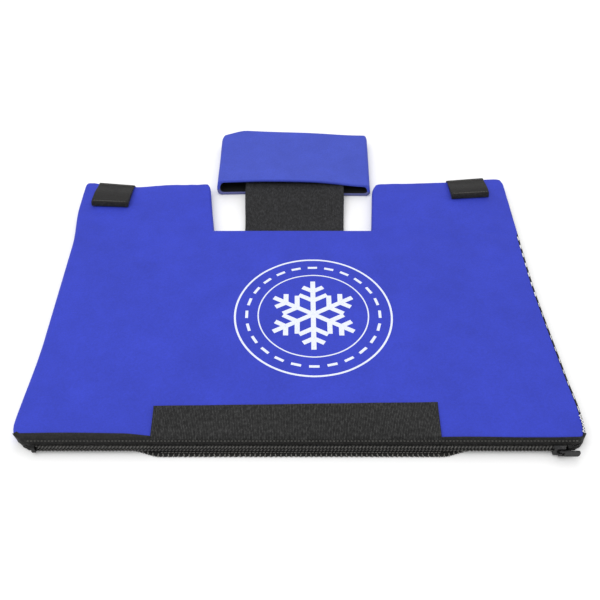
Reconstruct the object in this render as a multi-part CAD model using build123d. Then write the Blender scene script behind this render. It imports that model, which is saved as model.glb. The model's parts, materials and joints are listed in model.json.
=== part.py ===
"""Cold compression wrap: a flat neoprene pouch for an ice insert, closed by a long front zipper.

The frame: +X runs along the zipper, +Y runs from the zipper to the ears, +Z points up from the
skin side to the printed side. The origin is the middle of the main panel, on the skin side's face.
The wrap lies open and flat. All sizes are in millimetres and angles in degrees.
"""
import os
from math import atan2, degrees

from build123d import *

os.makedirs("parts", exist_ok=True)

# Main panel
PANEL_WIDTH = 457.0
PANEL_DEPTH = 250.0
FRONT_SECTION_DEPTH = 45.0
FRONT_CORNER_RADIUS = 7.0

# Neoprene sheet and the pouch between its two layers
FOAM = 4.0
POUCH_HEIGHT = 4.0
LAYER_GAP = 0.1
FOLD_GAP = 0.3

# Ears behind the main panel, and the notch between them
NOTCH_LEFT = -88.0
NOTCH_RIGHT = 72.5
NOTCH_FLARE_LEFT = 12.0
NOTCH_FLARE_RIGHT = 6.0
LEFT_EAR_DEPTH = 73.0
RIGHT_EAR_DEPTH = 77.0
RIGHT_EAR_SLOPE = 8.0
EAR_OUTER_RADIUS_LEFT = 7.0
EAR_OUTER_RADIUS_RIGHT = 14.0
EAR_INNER_RADIUS = 10.0

# Closing tabs on the ears
TAB_WIDTH = 38.0
TAB_DEPTH = 32.0
TAB_THICKNESS = 6.0
TAB_HOOK_THICKNESS = 1.6
TAB_SKEW = 7.0
TAB_CLEARANCE = 0.3
TAB_NOSE_RADIUS = 2.4
TAB_ANCHOR_THICKNESS = 1.2
LEFT_TAB_X = -197.5
RIGHT_TAB_X = 179.0

# Elastic strap
STRAP_WIDTH = 101.6
STRAP_X = -6.0
STRAP_THICKNESS = 1.5
STRAP_FREE_LENGTH = 69.0
STRAP_SEWN_LENGTH = 20.0
STRAP_HINGE_OFFSET = 1.5
STRAP_END_CLEARANCE = 1.0

# Pocket on the end of the strap
POCKET_LEFT = -88.0
POCKET_RIGHT = 76.0
POCKET_LENGTH = 92.0
POCKET_FAR_BULGE = 10.0
POCKET_CHAMFER = 25.0
POCKET_HEIGHT = 14.5
POCKET_CORNER_RADIUS = 4.0
POCKET_STRAP_LENGTH = 42.0

# Ice insert
INSERT_SHEET = 0.8
INSERT_CELL_HEIGHT = 2.8
INSERT_SIDE_MARGIN = 18.0
INSERT_END_MARGIN = 6.0
INSERT_CLEARANCE = 0.2
CELL_COLUMNS = 12
CELL_ROWS = 5
CELL_SPACING = 4.0
CELL_CORNER_RADIUS = 5.0

# Elastic strip on the front section
STRIP_LEFT = -120.0
STRIP_RIGHT = 111.5
STRIP_DEPTH_LEFT = 29.0
STRIP_DEPTH_RIGHT = 33.0
STRIP_THICKNESS = 1.4

# Zipper: both tapes slope forward from the panel's edge to the coils
ZIP_END_MARGIN = 6.0
ZIP_REACH = 4.0
TAPE_THICKNESS = 1.0
TAPE_COIL_OFFSET = 0.7
TAPE_FLOOR_GAP = 0.2
HEM_THICKNESS = 1.4
HEM_REACH_MIDDLE = 12.5
HEM_REACH_SIDE = 6.0
HEM_SHOULDER = 112.0
HEM_RAMP = 26.0
COIL_RADIUS = 1.3
COIL_GAP = 1.2
COIL_END_MARGIN = 17.0
STOP_LENGTH = 3.0
STOP_LIP = 0.6

# Zipper slider and pull
SLIDER_LENGTH = 9.0
SLIDER_PLATE = 1.6
SLIDER_CLEARANCE = 0.5
SLIDER_SIDE_CLEARANCE = 0.3
SLIDER_FLANGE = 0.6
SLIDER_POST_CLEARANCE = 0.15
SLIDER_TAIL_HEIGHT = 2.6
SLIDER_TAIL_THICKNESS = 1.2
SLIDER_STOP_GAP = 2.5
LUG_SIZE = 2.8
PULL_PIN_RADIUS = 0.6
PULL_PIN_CLEARANCE = 0.15
PULL_SIDE_CLEARANCE = 0.3
PULL_ARM = 1.1
PULL_THICKNESS = 1.4
PULL_LENGTH = 16.0
PULL_WIDTH = 6.5

# Printed mark and seam thread
PRINT_X = 11.5
PRINT_FRONT_MARGIN = 15.5
PRINT_SHARE = 0.58
PRINT_THICKNESS = 0.2
PRINT_RING_RADIUS = 72.5
PRINT_RING_WIDTH = 1.8
PRINT_INNER_RADIUS = 51.0
PRINT_INNER_WIDTH = 1.2
PRINT_DASHES = 24
PRINT_DASH_LENGTH = 9.0
PRINT_DASH_WIDTH = 2.6
FLAKE_ARM = 42.0
FLAKE_BAR = 4.6
FLAKE_BRANCHES = ((17.0, 15.0), (29.0, 11.0))
THREAD = 0.6
THREAD_MARGIN = 1.0

# Heights and edges that follow from the sizes above
TOTAL_HEIGHT = 2 * FOAM + POUCH_HEIGHT
MID_HEIGHT = TOTAL_HEIGHT / 2
HALF_WIDTH = PANEL_WIDTH / 2
FRONT_Y = -PANEL_DEPTH / 2
NOTCH_Y = PANEL_DEPTH / 2
FRONT_FOLD_Y = FRONT_Y + FRONT_SECTION_DEPTH
LEFT_EAR_Y = NOTCH_Y + LEFT_EAR_DEPTH
RIGHT_EAR_Y = NOTCH_Y + RIGHT_EAR_DEPTH
RIGHT_EAR_INNER_X = NOTCH_RIGHT + NOTCH_FLARE_RIGHT
RIGHT_EAR_ANGLE = degrees(atan2(RIGHT_EAR_SLOPE, HALF_WIDTH - RIGHT_EAR_INNER_X))
STRAP_Z = FOAM + LAYER_GAP
STRAP_MID_Z = STRAP_Z + STRAP_THICKNESS / 2
STRAP_HINGE_Y = NOTCH_Y + STRAP_HINGE_OFFSET
POCKET_HINGE_Y = STRAP_HINGE_Y + STRAP_FREE_LENGTH
POCKET_MOUTH_Y = POCKET_HINGE_Y + FOLD_GAP
STRAP_SPLIT_Y = (STRAP_HINGE_Y + POCKET_HINGE_Y) / 2
TAB_Z = TOTAL_HEIGHT + TAB_CLEARANCE
TAPE_END_Y = FRONT_Y - ZIP_REACH
COIL_Y = TAPE_END_Y - TAPE_THICKNESS - COIL_RADIUS
COIL_END_X = HALF_WIDTH - COIL_END_MARGIN
COIL_RISE = COIL_GAP / 2 + COIL_RADIUS
TEETH_HEIGHT = 2 * (COIL_RISE + COIL_RADIUS)
SLIDER_REST_X = COIL_END_X - SLIDER_STOP_GAP - SLIDER_LENGTH / 2
PRINT_RADIUS = PRINT_SHARE * PANEL_DEPTH / 2
PRINT_PLACE = Pos(PRINT_X, FRONT_FOLD_Y + PRINT_FRONT_MARGIN + PRINT_RADIUS, TOTAL_HEIGHT)


def block(low, high):
    """A box between two opposite corners."""
    sizes = [b - a for a, b in zip(low, high)]
    return Pos(*low) * Box(*sizes, align=(Align.MIN, Align.MIN, Align.MIN))


def outline(points, radii=None):
    """A flat polygon; radii maps a corner's number to its rounding radius."""
    face = make_face(Polyline(*points, close=True))
    for number, radius in (radii or {}).items():
        x, y = points[number]
        corner = face.vertices().sort_by_distance((x, y, 0))[0]
        face = fillet(corner, radius)
    return face


def slab(face, low, high):
    """A flat face turned into a slab between two heights."""
    return extrude(Pos(0, 0, low) * face, high - low)


def layer_pair(face, pouch):
    """The printed layer and the skin layer of one section, sewn along the rims the pouch leaves."""
    outer = slab(face, MID_HEIGHT + LAYER_GAP / 2, TOTAL_HEIGHT)
    outer -= slab(pouch, 0, TOTAL_HEIGHT - FOAM)
    inner = slab(face, 0, MID_HEIGHT - LAYER_GAP / 2)
    inner -= slab(pouch, FOAM, TOTAL_HEIGHT)
    return outer, inner


def rectangle(x_low, y_low, x_high, y_high):
    """A flat rectangle between two corners."""
    return outline([(x_low, y_low), (x_high, y_low), (x_high, y_high), (x_low, y_high)])


def seam_thread(y_low, y_high):
    """The band of overlock thread along the right edge."""
    low = (HALF_WIDTH, y_low, THREAD_MARGIN)
    high = (HALF_WIDTH + THREAD, y_high, TOTAL_HEIGHT - THREAD_MARGIN)
    return block(low, high)


def middle_section():
    """The part of the panel between the front fold and the notch."""
    y_low = FRONT_FOLD_Y + FOLD_GAP / 2
    face = rectangle(-HALF_WIDTH, y_low, HALF_WIDTH, NOTCH_Y)
    pouch = rectangle(FOAM - HALF_WIDTH, y_low - FOAM, HALF_WIDTH - FOAM, NOTCH_Y + FOAM)
    outer, inner = layer_pair(face, pouch)
    return {
        "outer_layer_middle": outer,
        "skin_layer_middle": inner,
        "overlock_thread_middle": seam_thread(y_low, NOTCH_Y),
    }


def front_section():
    """The part of the panel between the zipper and the front fold."""
    y_high = FRONT_FOLD_Y - FOLD_GAP / 2
    corners = [(-HALF_WIDTH, FRONT_Y), (HALF_WIDTH, FRONT_Y), (HALF_WIDTH, y_high), (-HALF_WIDTH, y_high)]
    face = outline(corners, {0: FRONT_CORNER_RADIUS, 1: FRONT_CORNER_RADIUS})
    pouch = rectangle(FOAM - HALF_WIDTH + FRONT_CORNER_RADIUS, FRONT_Y - FOAM,
                      HALF_WIDTH - FOAM - FRONT_CORNER_RADIUS, y_high + FOAM)
    outer, inner = layer_pair(face, pouch)
    return {
        "outer_layer_front": outer,
        "skin_layer_front": inner,
        "overlock_thread_front": seam_thread(FRONT_Y + FRONT_CORNER_RADIUS, y_high),
    }


def left_ear():
    """The left ear, sewn shut on every side but the one it folds along."""
    y_low = NOTCH_Y + FOLD_GAP
    inner_x = NOTCH_LEFT - NOTCH_FLARE_LEFT
    corners = [(-HALF_WIDTH, y_low), (-HALF_WIDTH, LEFT_EAR_Y), (inner_x, LEFT_EAR_Y), (NOTCH_LEFT, y_low)]
    face = outline(corners, {1: EAR_OUTER_RADIUS_LEFT, 2: EAR_INNER_RADIUS})
    pouch = outline([(FOAM - HALF_WIDTH, y_low - FOAM), (FOAM - HALF_WIDTH, LEFT_EAR_Y - FOAM),
                     (inner_x - FOAM, LEFT_EAR_Y - FOAM), (NOTCH_LEFT - FOAM, y_low - FOAM)])
    outer, inner = layer_pair(face, pouch)
    return {"outer_layer_left_ear": outer, "skin_layer_left_ear": inner}


def right_ear():
    """The right ear, a little deeper than the left one, with a sloping back edge."""
    y_low = NOTCH_Y + FOLD_GAP
    inner_x = RIGHT_EAR_INNER_X
    inner_y = RIGHT_EAR_Y
    outer_y = RIGHT_EAR_Y + RIGHT_EAR_SLOPE
    corners = [(NOTCH_RIGHT, y_low), (inner_x, inner_y), (HALF_WIDTH, outer_y), (HALF_WIDTH, y_low)]
    face = outline(corners, {1: EAR_INNER_RADIUS, 2: EAR_OUTER_RADIUS_RIGHT})
    pouch = outline([(NOTCH_RIGHT + FOAM, y_low - FOAM), (inner_x + FOAM, inner_y - FOAM),
                     (HALF_WIDTH - FOAM, outer_y - FOAM), (HALF_WIDTH - FOAM, y_low - FOAM)])
    outer, inner = layer_pair(face, pouch)
    return {
        "outer_layer_right_ear": outer,
        "skin_layer_right_ear": inner,
        "overlock_thread_right_ear": seam_thread(y_low, outer_y - 2 * EAR_OUTER_RADIUS_RIGHT),
    }


def closing_tab(side, x, edge_y, edge_angle, skew):
    """A tab folded from tape with hook tape below it, and the anchor that holds it to the ear's edge."""
    place = Pos(x, edge_y, 0) * Rot(0, 0, skew)
    half = TAB_WIDTH / 2
    hook_top = TAB_Z + TAB_HOOK_THICKNESS
    body = block((-half, -TAB_DEPTH, hook_top), (half, 0, TAB_Z + TAB_THICKNESS))
    nose = body.edges().filter_by(Axis.X).group_by(Axis.Y)[0].sort_by(Axis.Z)[-1]
    body = fillet(nose, min(TAB_NOSE_RADIUS, 0.8 * (TAB_THICKNESS - TAB_HOOK_THICKNESS)))
    hook = block((-half, -TAB_DEPTH, TAB_Z), (half, -TAB_CLEARANCE, hook_top))
    anchor = block((-half, 0, THREAD_MARGIN), (half, TAB_ANCHOR_THICKNESS, TOTAL_HEIGHT))
    return {
        f"{side}_tab_tape": place * body,
        f"{side}_tab_hook_patch": place * hook,
        f"{side}_tab_anchor": Pos(x, edge_y, 0) * Rot(0, 0, edge_angle) * anchor,
    }


def strap():
    """The elastic strap: its sewn root, its two free halves and its end inside the pocket."""
    left = STRAP_X - STRAP_WIDTH / 2
    right = STRAP_X + STRAP_WIDTH / 2
    spans = {
        "strap_sewn_root": (NOTCH_Y - STRAP_SEWN_LENGTH, NOTCH_Y + FOLD_GAP),
        "strap_elastic": (STRAP_HINGE_Y, STRAP_SPLIT_Y - FOLD_GAP / 2),
        "strap_elastic_outer": (STRAP_SPLIT_Y + FOLD_GAP / 2, POCKET_HINGE_Y - STRAP_END_CLEARANCE),
        "strap_sewn_end": (POCKET_HINGE_Y + STRAP_END_CLEARANCE, POCKET_HINGE_Y + POCKET_STRAP_LENGTH),
    }
    return {
        name: block((left, y_low, STRAP_Z), (right, y_high, STRAP_Z + STRAP_THICKNESS))
        for name, (y_low, y_high) in spans.items()
    }


def pocket():
    """The flat pocket: a skin layer, and an upper layer whose sides and far end fold down to it."""
    far_y = POCKET_MOUTH_Y + POCKET_LENGTH
    corners = [(POCKET_LEFT, POCKET_MOUTH_Y), (POCKET_LEFT, far_y),
               (POCKET_LEFT + POCKET_CHAMFER, far_y + POCKET_FAR_BULGE), (POCKET_RIGHT, far_y),
               (POCKET_RIGHT, POCKET_MOUTH_Y)]
    face = outline(corners, {1: POCKET_CORNER_RADIUS, 3: POCKET_CORNER_RADIUS})
    hollow = rectangle(POCKET_LEFT + FOAM, POCKET_MOUTH_Y - FOAM,
                       POCKET_RIGHT - FOAM, far_y - FOAM)
    upper = slab(face, FOAM + LAYER_GAP, POCKET_HEIGHT)
    upper -= slab(hollow, 0, POCKET_HEIGHT - FOAM)
    return {"pocket_upper": upper, "pocket_lower": slab(face, 0, FOAM)}


def ice_insert():
    """The flexible ice insert: a plastic sheet with rounded cells of coolant in rows."""
    half = HALF_WIDTH - INSERT_SIDE_MARGIN
    y_low = FRONT_FOLD_Y + INSERT_END_MARGIN
    y_high = NOTCH_Y - STRAP_SEWN_LENGTH - INSERT_END_MARGIN
    z_sheet = FOAM + INSERT_CLEARANCE
    z_cells = z_sheet + INSERT_SHEET
    pitch_x = 2 * half / CELL_COLUMNS
    pitch_y = (y_high - y_low) / CELL_ROWS
    cell_face = RectangleRounded(pitch_x - CELL_SPACING, pitch_y - CELL_SPACING, CELL_CORNER_RADIUS)
    cell = extrude(cell_face, INSERT_CELL_HEIGHT)
    grid = GridLocations(pitch_x, pitch_y, CELL_COLUMNS, CELL_ROWS)
    middle = Pos(0, (y_low + y_high) / 2, z_cells)
    return {
        "ice_insert_sheet": block((-half, y_low, z_sheet), (half, y_high, z_cells)),
        "ice_insert_cells": Compound(children=[middle * place * cell for place in grid]),
    }


def printed_mark():
    """The printed mark: two thin rings, a ring of dashes and a plain six-armed snowflake.

    It is drawn with a ring of PRINT_RING_RADIUS and then sized to its share of the panel's depth.
    """
    def ring(radius, width):
        return Circle(radius) - Circle(radius - width)

    dash_radius = (PRINT_RING_RADIUS - PRINT_RING_WIDTH + PRINT_INNER_RADIUS) / 2
    dash = Rectangle(PRINT_DASH_WIDTH, PRINT_DASH_LENGTH)
    mark = ring(PRINT_RING_RADIUS, PRINT_RING_WIDTH) + ring(PRINT_INNER_RADIUS, PRINT_INNER_WIDTH)
    for place in PolarLocations(dash_radius, PRINT_DASHES):
        mark += place * dash
    arm = Pos(0, FLAKE_ARM / 2) * Rectangle(FLAKE_BAR, FLAKE_ARM)
    for start, length in FLAKE_BRANCHES:
        for side in (-1, 1):
            branch = Pos(0, length / 2) * Rectangle(FLAKE_BAR, length)
            arm += Pos(0, start) * Rot(0, 0, side * 60) * branch
    for turn in range(6):
        mark += Rot(0, 0, 60 * turn) * arm
    mark = scale(mark, by=PRINT_RADIUS / PRINT_RING_RADIUS)
    return {"printed_mark": PRINT_PLACE * extrude(mark, PRINT_THICKNESS)}


def front_strip():
    """The ribbed elastic strip sewn on top of the front section."""
    corners = [(STRIP_LEFT, FRONT_Y), (STRIP_RIGHT, FRONT_Y),
               (STRIP_RIGHT, FRONT_Y + STRIP_DEPTH_RIGHT), (STRIP_LEFT, FRONT_Y + STRIP_DEPTH_LEFT)]
    return {"front_elastic_strip": slab(outline(corners), TOTAL_HEIGHT, TOTAL_HEIGHT + STRIP_THICKNESS)}


def zipper_hem():
    """The lower tape's hem, which stands further forward in the middle than at the sides."""
    back = FRONT_Y - TAPE_THICKNESS
    end_x = HALF_WIDTH - ZIP_END_MARGIN
    side_y = FRONT_Y - HEM_REACH_SIDE
    middle_y = FRONT_Y - HEM_REACH_MIDDLE
    ramp_x = HEM_SHOULDER + HEM_RAMP
    line = Polyline((-HEM_SHOULDER, middle_y), (HEM_SHOULDER, middle_y))
    for side in (-1, 1):
        ramp = Spline((side * HEM_SHOULDER, middle_y), (side * ramp_x, side_y), tangents=((side, 0), (side, 0)))
        line += ramp
        line += Polyline((side * ramp_x, side_y), (side * end_x, side_y), (side * end_x, back))
    line += Polyline((-end_x, back), (end_x, back))
    return slab(make_face(line), TAPE_FLOOR_GAP, TAPE_FLOOR_GAP + HEM_THICKNESS)


def zipper_tape(z_edge, z_coil):
    """A tape that slopes from the panel's front edge, at one height, to the coil, at another."""
    end_x = HALF_WIDTH - ZIP_END_MARGIN
    side = Polyline((-end_x, FRONT_Y, z_edge), (-end_x, FRONT_Y - TAPE_THICKNESS, z_edge),
                    (-end_x, TAPE_END_Y - TAPE_THICKNESS, z_coil), (-end_x, TAPE_END_Y, z_coil), close=True)
    return extrude(make_face(side), amount=2 * end_x, dir=(1, 0, 0))


def zipper():
    """The closed zipper: two tapes, two coils and the stops at their ends."""
    front = TAPE_END_Y - TAPE_THICKNESS
    tape_end = COIL_RISE - TAPE_COIL_OFFSET
    upper = zipper_tape(TOTAL_HEIGHT - TAPE_FLOOR_GAP, MID_HEIGHT + tape_end)
    lower = zipper_tape(TAPE_FLOOR_GAP, MID_HEIGHT - tape_end)
    coil = Rot(0, 90, 0) * Cylinder(COIL_RADIUS, 2 * COIL_END_X)
    stop_front = front - 2 * COIL_RADIUS - STOP_LIP
    stop_low = MID_HEIGHT - TEETH_HEIGHT / 2
    pieces = {
        "zipper_tape_upper": upper,
        "zipper_tape_lower": lower + zipper_hem(),
        "zipper_coil_upper": Pos(0, COIL_Y, MID_HEIGHT + COIL_RISE) * coil,
        "zipper_coil_lower": Pos(0, COIL_Y, MID_HEIGHT - COIL_RISE) * coil,
    }
    for name, x in (("left", -COIL_END_X - STOP_LENGTH), ("right", COIL_END_X)):
        high = (x + STOP_LENGTH, front, stop_low + TEETH_HEIGHT)
        pieces[f"zipper_stop_{name}"] = block((x, stop_front, stop_low), high)
    return pieces


def slider_lug_y():
    """The middle of the lug that stands on the slider's front plate."""
    return COIL_Y - COIL_RADIUS - SLIDER_CLEARANCE - SLIDER_PLATE - LUG_SIZE / 2


def zipper_slider():
    """The slider: a front plate, a thin post between the coils and a tail behind the tapes."""
    half = SLIDER_LENGTH / 2
    plate_back = COIL_Y - COIL_RADIUS - SLIDER_CLEARANCE
    plate_front = plate_back - SLIDER_PLATE
    tail_front = TAPE_END_Y + SLIDER_CLEARANCE
    tail_back = tail_front + SLIDER_TAIL_THICKNESS
    post = COIL_GAP / 2 - SLIDER_POST_CLEARANCE
    reach = TEETH_HEIGHT / 2 + SLIDER_SIDE_CLEARANCE + SLIDER_FLANGE
    body = block((-half, plate_front, -reach), (half, plate_back, reach))
    body += block((-half, plate_back, -post), (half, tail_back, post))
    body += block((-half, tail_front, -SLIDER_TAIL_HEIGHT / 2), (half, tail_back, SLIDER_TAIL_HEIGHT / 2))
    for side in (-1, 1):
        rim = side * (reach - SLIDER_FLANGE / 2)
        rim_low = (-half, plate_back, rim - SLIDER_FLANGE / 2)
        body += block(rim_low, (half, COIL_Y, rim + SLIDER_FLANGE / 2))
    lug_y = slider_lug_y()
    body += Pos(0, lug_y, 0) * Box(LUG_SIZE, LUG_SIZE, LUG_SIZE)
    body -= Pos(0, lug_y, 0) * Cylinder(PULL_PIN_RADIUS + PULL_PIN_CLEARANCE, 2 * LUG_SIZE)
    return {"zipper_slider": Pos(SLIDER_REST_X, 0, MID_HEIGHT) * body}


def zipper_pull():
    """The pull: a pin through the slider's lug, two arms and a flat grip towards +X."""
    lug_y = slider_lug_y()
    arm_low = LUG_SIZE / 2 + PULL_SIDE_CLEARANCE
    arm_high = arm_low + PULL_ARM
    arm_end = LUG_SIZE / 2 + 2 * PULL_ARM
    half = PULL_THICKNESS / 2
    body = Cylinder(PULL_PIN_RADIUS, 2 * arm_high)
    for side in (-1, 1):
        z_low, z_high = sorted((side * arm_low, side * arm_high))
        body += block((-half, -half, z_low), (arm_end + half, half, z_high))
    grip = block((arm_end, -half, -PULL_WIDTH / 2), (PULL_LENGTH, half, PULL_WIDTH / 2))
    corners = grip.edges().filter_by(Axis.Y).group_by(Axis.X)[-1]
    body += fillet(corners, PULL_WIDTH / 4)
    return {"zipper_pull": Pos(SLIDER_REST_X, lug_y, MID_HEIGHT) * body}


def all_pieces():
    """Every piece by its node's name."""
    pieces = {}
    for group in (middle_section(), front_section(), left_ear(), right_ear(), strap(), pocket(),
                  ice_insert(), printed_mark(), front_strip(), zipper(), zipper_slider(), zipper_pull()):
        pieces.update(group)
    right_rise = RIGHT_EAR_SLOPE * (RIGHT_TAB_X - RIGHT_EAR_INNER_X) / (HALF_WIDTH - RIGHT_EAR_INNER_X)
    pieces.update(closing_tab("left", LEFT_TAB_X, LEFT_EAR_Y, 0, -TAB_SKEW))
    pieces.update(closing_tab("right", RIGHT_TAB_X, RIGHT_EAR_Y + right_rise, RIGHT_EAR_ANGLE, TAB_SKEW))
    return pieces


for node, solid in all_pieces().items():
    export_step(solid, f"parts/{node}.step")
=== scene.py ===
"""Looks of the cold compression wrap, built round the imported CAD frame.

Lengths below are in millimetres unless they come from the frame, and mesh() turns them into metres.
x runs along the zipper, y from the zipper to the ears, z up from the skin side to the printed side.
"""

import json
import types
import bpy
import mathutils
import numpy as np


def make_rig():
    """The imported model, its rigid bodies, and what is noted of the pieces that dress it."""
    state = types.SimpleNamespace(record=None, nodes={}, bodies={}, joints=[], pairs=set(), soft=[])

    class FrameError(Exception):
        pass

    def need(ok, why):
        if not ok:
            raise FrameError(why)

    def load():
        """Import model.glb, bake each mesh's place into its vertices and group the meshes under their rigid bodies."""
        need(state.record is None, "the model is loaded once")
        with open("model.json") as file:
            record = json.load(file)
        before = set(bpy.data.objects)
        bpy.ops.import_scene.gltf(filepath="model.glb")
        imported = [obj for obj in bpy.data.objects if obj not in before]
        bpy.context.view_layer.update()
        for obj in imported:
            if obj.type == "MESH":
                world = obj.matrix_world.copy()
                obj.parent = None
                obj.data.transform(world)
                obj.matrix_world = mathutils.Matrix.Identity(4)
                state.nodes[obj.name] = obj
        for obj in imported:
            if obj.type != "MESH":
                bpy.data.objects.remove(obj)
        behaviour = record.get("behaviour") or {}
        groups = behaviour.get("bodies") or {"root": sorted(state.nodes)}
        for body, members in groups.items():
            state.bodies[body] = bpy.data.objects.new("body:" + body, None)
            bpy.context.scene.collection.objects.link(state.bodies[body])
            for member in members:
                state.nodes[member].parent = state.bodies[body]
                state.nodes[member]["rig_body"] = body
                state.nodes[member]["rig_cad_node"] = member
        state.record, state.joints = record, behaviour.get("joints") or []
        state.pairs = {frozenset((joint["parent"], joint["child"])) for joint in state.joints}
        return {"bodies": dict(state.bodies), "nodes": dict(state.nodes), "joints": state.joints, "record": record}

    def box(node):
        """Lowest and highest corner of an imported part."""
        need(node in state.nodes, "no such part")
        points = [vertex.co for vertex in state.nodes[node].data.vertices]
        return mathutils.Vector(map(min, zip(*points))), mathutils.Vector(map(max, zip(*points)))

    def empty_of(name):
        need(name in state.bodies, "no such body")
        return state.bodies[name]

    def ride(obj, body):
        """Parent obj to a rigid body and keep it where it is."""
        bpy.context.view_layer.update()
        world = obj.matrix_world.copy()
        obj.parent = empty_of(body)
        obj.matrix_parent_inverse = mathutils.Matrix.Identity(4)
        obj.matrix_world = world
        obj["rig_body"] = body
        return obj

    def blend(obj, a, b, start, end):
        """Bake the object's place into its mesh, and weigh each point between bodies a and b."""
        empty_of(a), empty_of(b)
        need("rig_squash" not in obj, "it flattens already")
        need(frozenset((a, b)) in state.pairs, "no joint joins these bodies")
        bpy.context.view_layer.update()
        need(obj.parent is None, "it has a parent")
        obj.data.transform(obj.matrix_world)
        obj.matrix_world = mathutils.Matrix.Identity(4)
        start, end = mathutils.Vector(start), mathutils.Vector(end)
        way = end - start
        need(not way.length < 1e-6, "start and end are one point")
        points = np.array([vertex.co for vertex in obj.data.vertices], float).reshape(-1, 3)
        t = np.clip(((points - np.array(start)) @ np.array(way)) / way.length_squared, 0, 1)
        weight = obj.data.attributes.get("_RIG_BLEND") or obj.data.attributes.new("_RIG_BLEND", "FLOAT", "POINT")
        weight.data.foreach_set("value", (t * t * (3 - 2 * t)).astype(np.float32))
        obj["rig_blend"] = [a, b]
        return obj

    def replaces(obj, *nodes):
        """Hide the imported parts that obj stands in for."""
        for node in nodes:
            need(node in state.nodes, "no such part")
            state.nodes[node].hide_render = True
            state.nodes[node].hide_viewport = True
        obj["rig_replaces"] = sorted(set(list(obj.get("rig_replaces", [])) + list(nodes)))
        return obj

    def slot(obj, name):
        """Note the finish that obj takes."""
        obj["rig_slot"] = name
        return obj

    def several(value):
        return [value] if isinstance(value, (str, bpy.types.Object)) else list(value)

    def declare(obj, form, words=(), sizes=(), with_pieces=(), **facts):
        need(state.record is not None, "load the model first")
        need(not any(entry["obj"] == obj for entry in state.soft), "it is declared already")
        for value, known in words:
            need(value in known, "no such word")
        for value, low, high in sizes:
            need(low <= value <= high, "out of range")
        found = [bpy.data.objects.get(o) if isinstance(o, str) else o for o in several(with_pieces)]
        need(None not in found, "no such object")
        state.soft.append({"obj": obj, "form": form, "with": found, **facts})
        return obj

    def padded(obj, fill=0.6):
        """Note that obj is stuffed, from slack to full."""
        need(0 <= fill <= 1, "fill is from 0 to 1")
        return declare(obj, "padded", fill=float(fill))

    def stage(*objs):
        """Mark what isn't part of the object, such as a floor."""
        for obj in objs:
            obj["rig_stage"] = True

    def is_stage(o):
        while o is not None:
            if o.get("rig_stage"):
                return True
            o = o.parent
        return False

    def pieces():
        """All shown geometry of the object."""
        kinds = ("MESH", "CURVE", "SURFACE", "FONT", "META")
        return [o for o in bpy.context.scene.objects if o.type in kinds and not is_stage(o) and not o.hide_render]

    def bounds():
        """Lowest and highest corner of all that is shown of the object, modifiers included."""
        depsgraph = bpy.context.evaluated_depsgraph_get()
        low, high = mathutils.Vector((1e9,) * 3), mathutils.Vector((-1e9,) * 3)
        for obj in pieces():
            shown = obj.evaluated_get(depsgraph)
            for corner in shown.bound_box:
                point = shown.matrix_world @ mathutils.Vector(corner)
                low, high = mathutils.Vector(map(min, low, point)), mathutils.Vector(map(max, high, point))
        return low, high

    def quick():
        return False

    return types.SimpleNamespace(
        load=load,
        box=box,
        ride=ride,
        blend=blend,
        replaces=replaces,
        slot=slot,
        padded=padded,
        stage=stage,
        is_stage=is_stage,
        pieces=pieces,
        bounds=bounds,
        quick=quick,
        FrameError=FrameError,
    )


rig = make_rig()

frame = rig.load()

import json
import math
import random

import bmesh
import bpy
import mathutils
import numpy as np

CAD_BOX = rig.bounds()
MM = 0.001
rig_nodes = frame["nodes"]
random.seed(7)


# ---------------------------------------------------------------- places taken from the frame

def box(*nodes):
    """Lowest and highest corner of some CAD nodes together, in millimetres."""
    corners = [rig.box(node) for node in nodes]
    low = [min(c[0][axis] for c in corners) / MM for axis in range(3)]
    high = [max(c[1][axis] for c in corners) / MM for axis in range(3)]
    return low, high


def joint(name):
    """A joint's record, with its position in millimetres."""
    found = next(j for j in frame["joints"] if j["name"] == name)
    return {**found, "pos": [v / MM for v in found.get("pos_m", (0, 0, 0))]}


MIDDLE_HIGH = box("outer_layer_middle", "skin_layer_middle")[1]
FRONT_LOW = box("outer_layer_front", "skin_layer_front")[0]
LEFT_EAR_HIGH = box("outer_layer_left_ear")[1]
RIGHT_EAR_LOW, RIGHT_EAR_HIGH = box("outer_layer_right_ear")
STRAP_LOW, STRAP_HIGH = box("strap_elastic", "strap_elastic_outer")
POCKET_LOW, POCKET_HIGH = box("pocket_upper", "pocket_lower")
COIL_UPPER_LOW, COIL_UPPER_HIGH = box("zipper_coil_upper")
COIL_LOWER_LOW, COIL_LOWER_HIGH = box("zipper_coil_lower")
STRIP_LOW, STRIP_HIGH = box("front_elastic_strip")

HALF_WIDTH = MIDDLE_HIGH[0]
TOP = MIDDLE_HIGH[2]
MID = TOP / 2
FRONT_Y = FRONT_LOW[1]
FOLD_Y = joint("front_fold")["pos"][1]
NOTCH_Y = MIDDLE_HIGH[1]
NOTCH_LEFT = LEFT_EAR_HIGH[0]
NOTCH_RIGHT = RIGHT_EAR_LOW[0]
STRAP_MID_Z = (STRAP_LOW[2] + STRAP_HIGH[2]) / 2
PRINT_LOW, PRINT_HIGH = box("printed_mark")
PRINT_X = (PRINT_LOW[0] + PRINT_HIGH[0]) / 2
PRINT_Y = (PRINT_LOW[1] + PRINT_HIGH[1]) / 2

# ---------------------------------------------------------------- sizes of the looks

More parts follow.
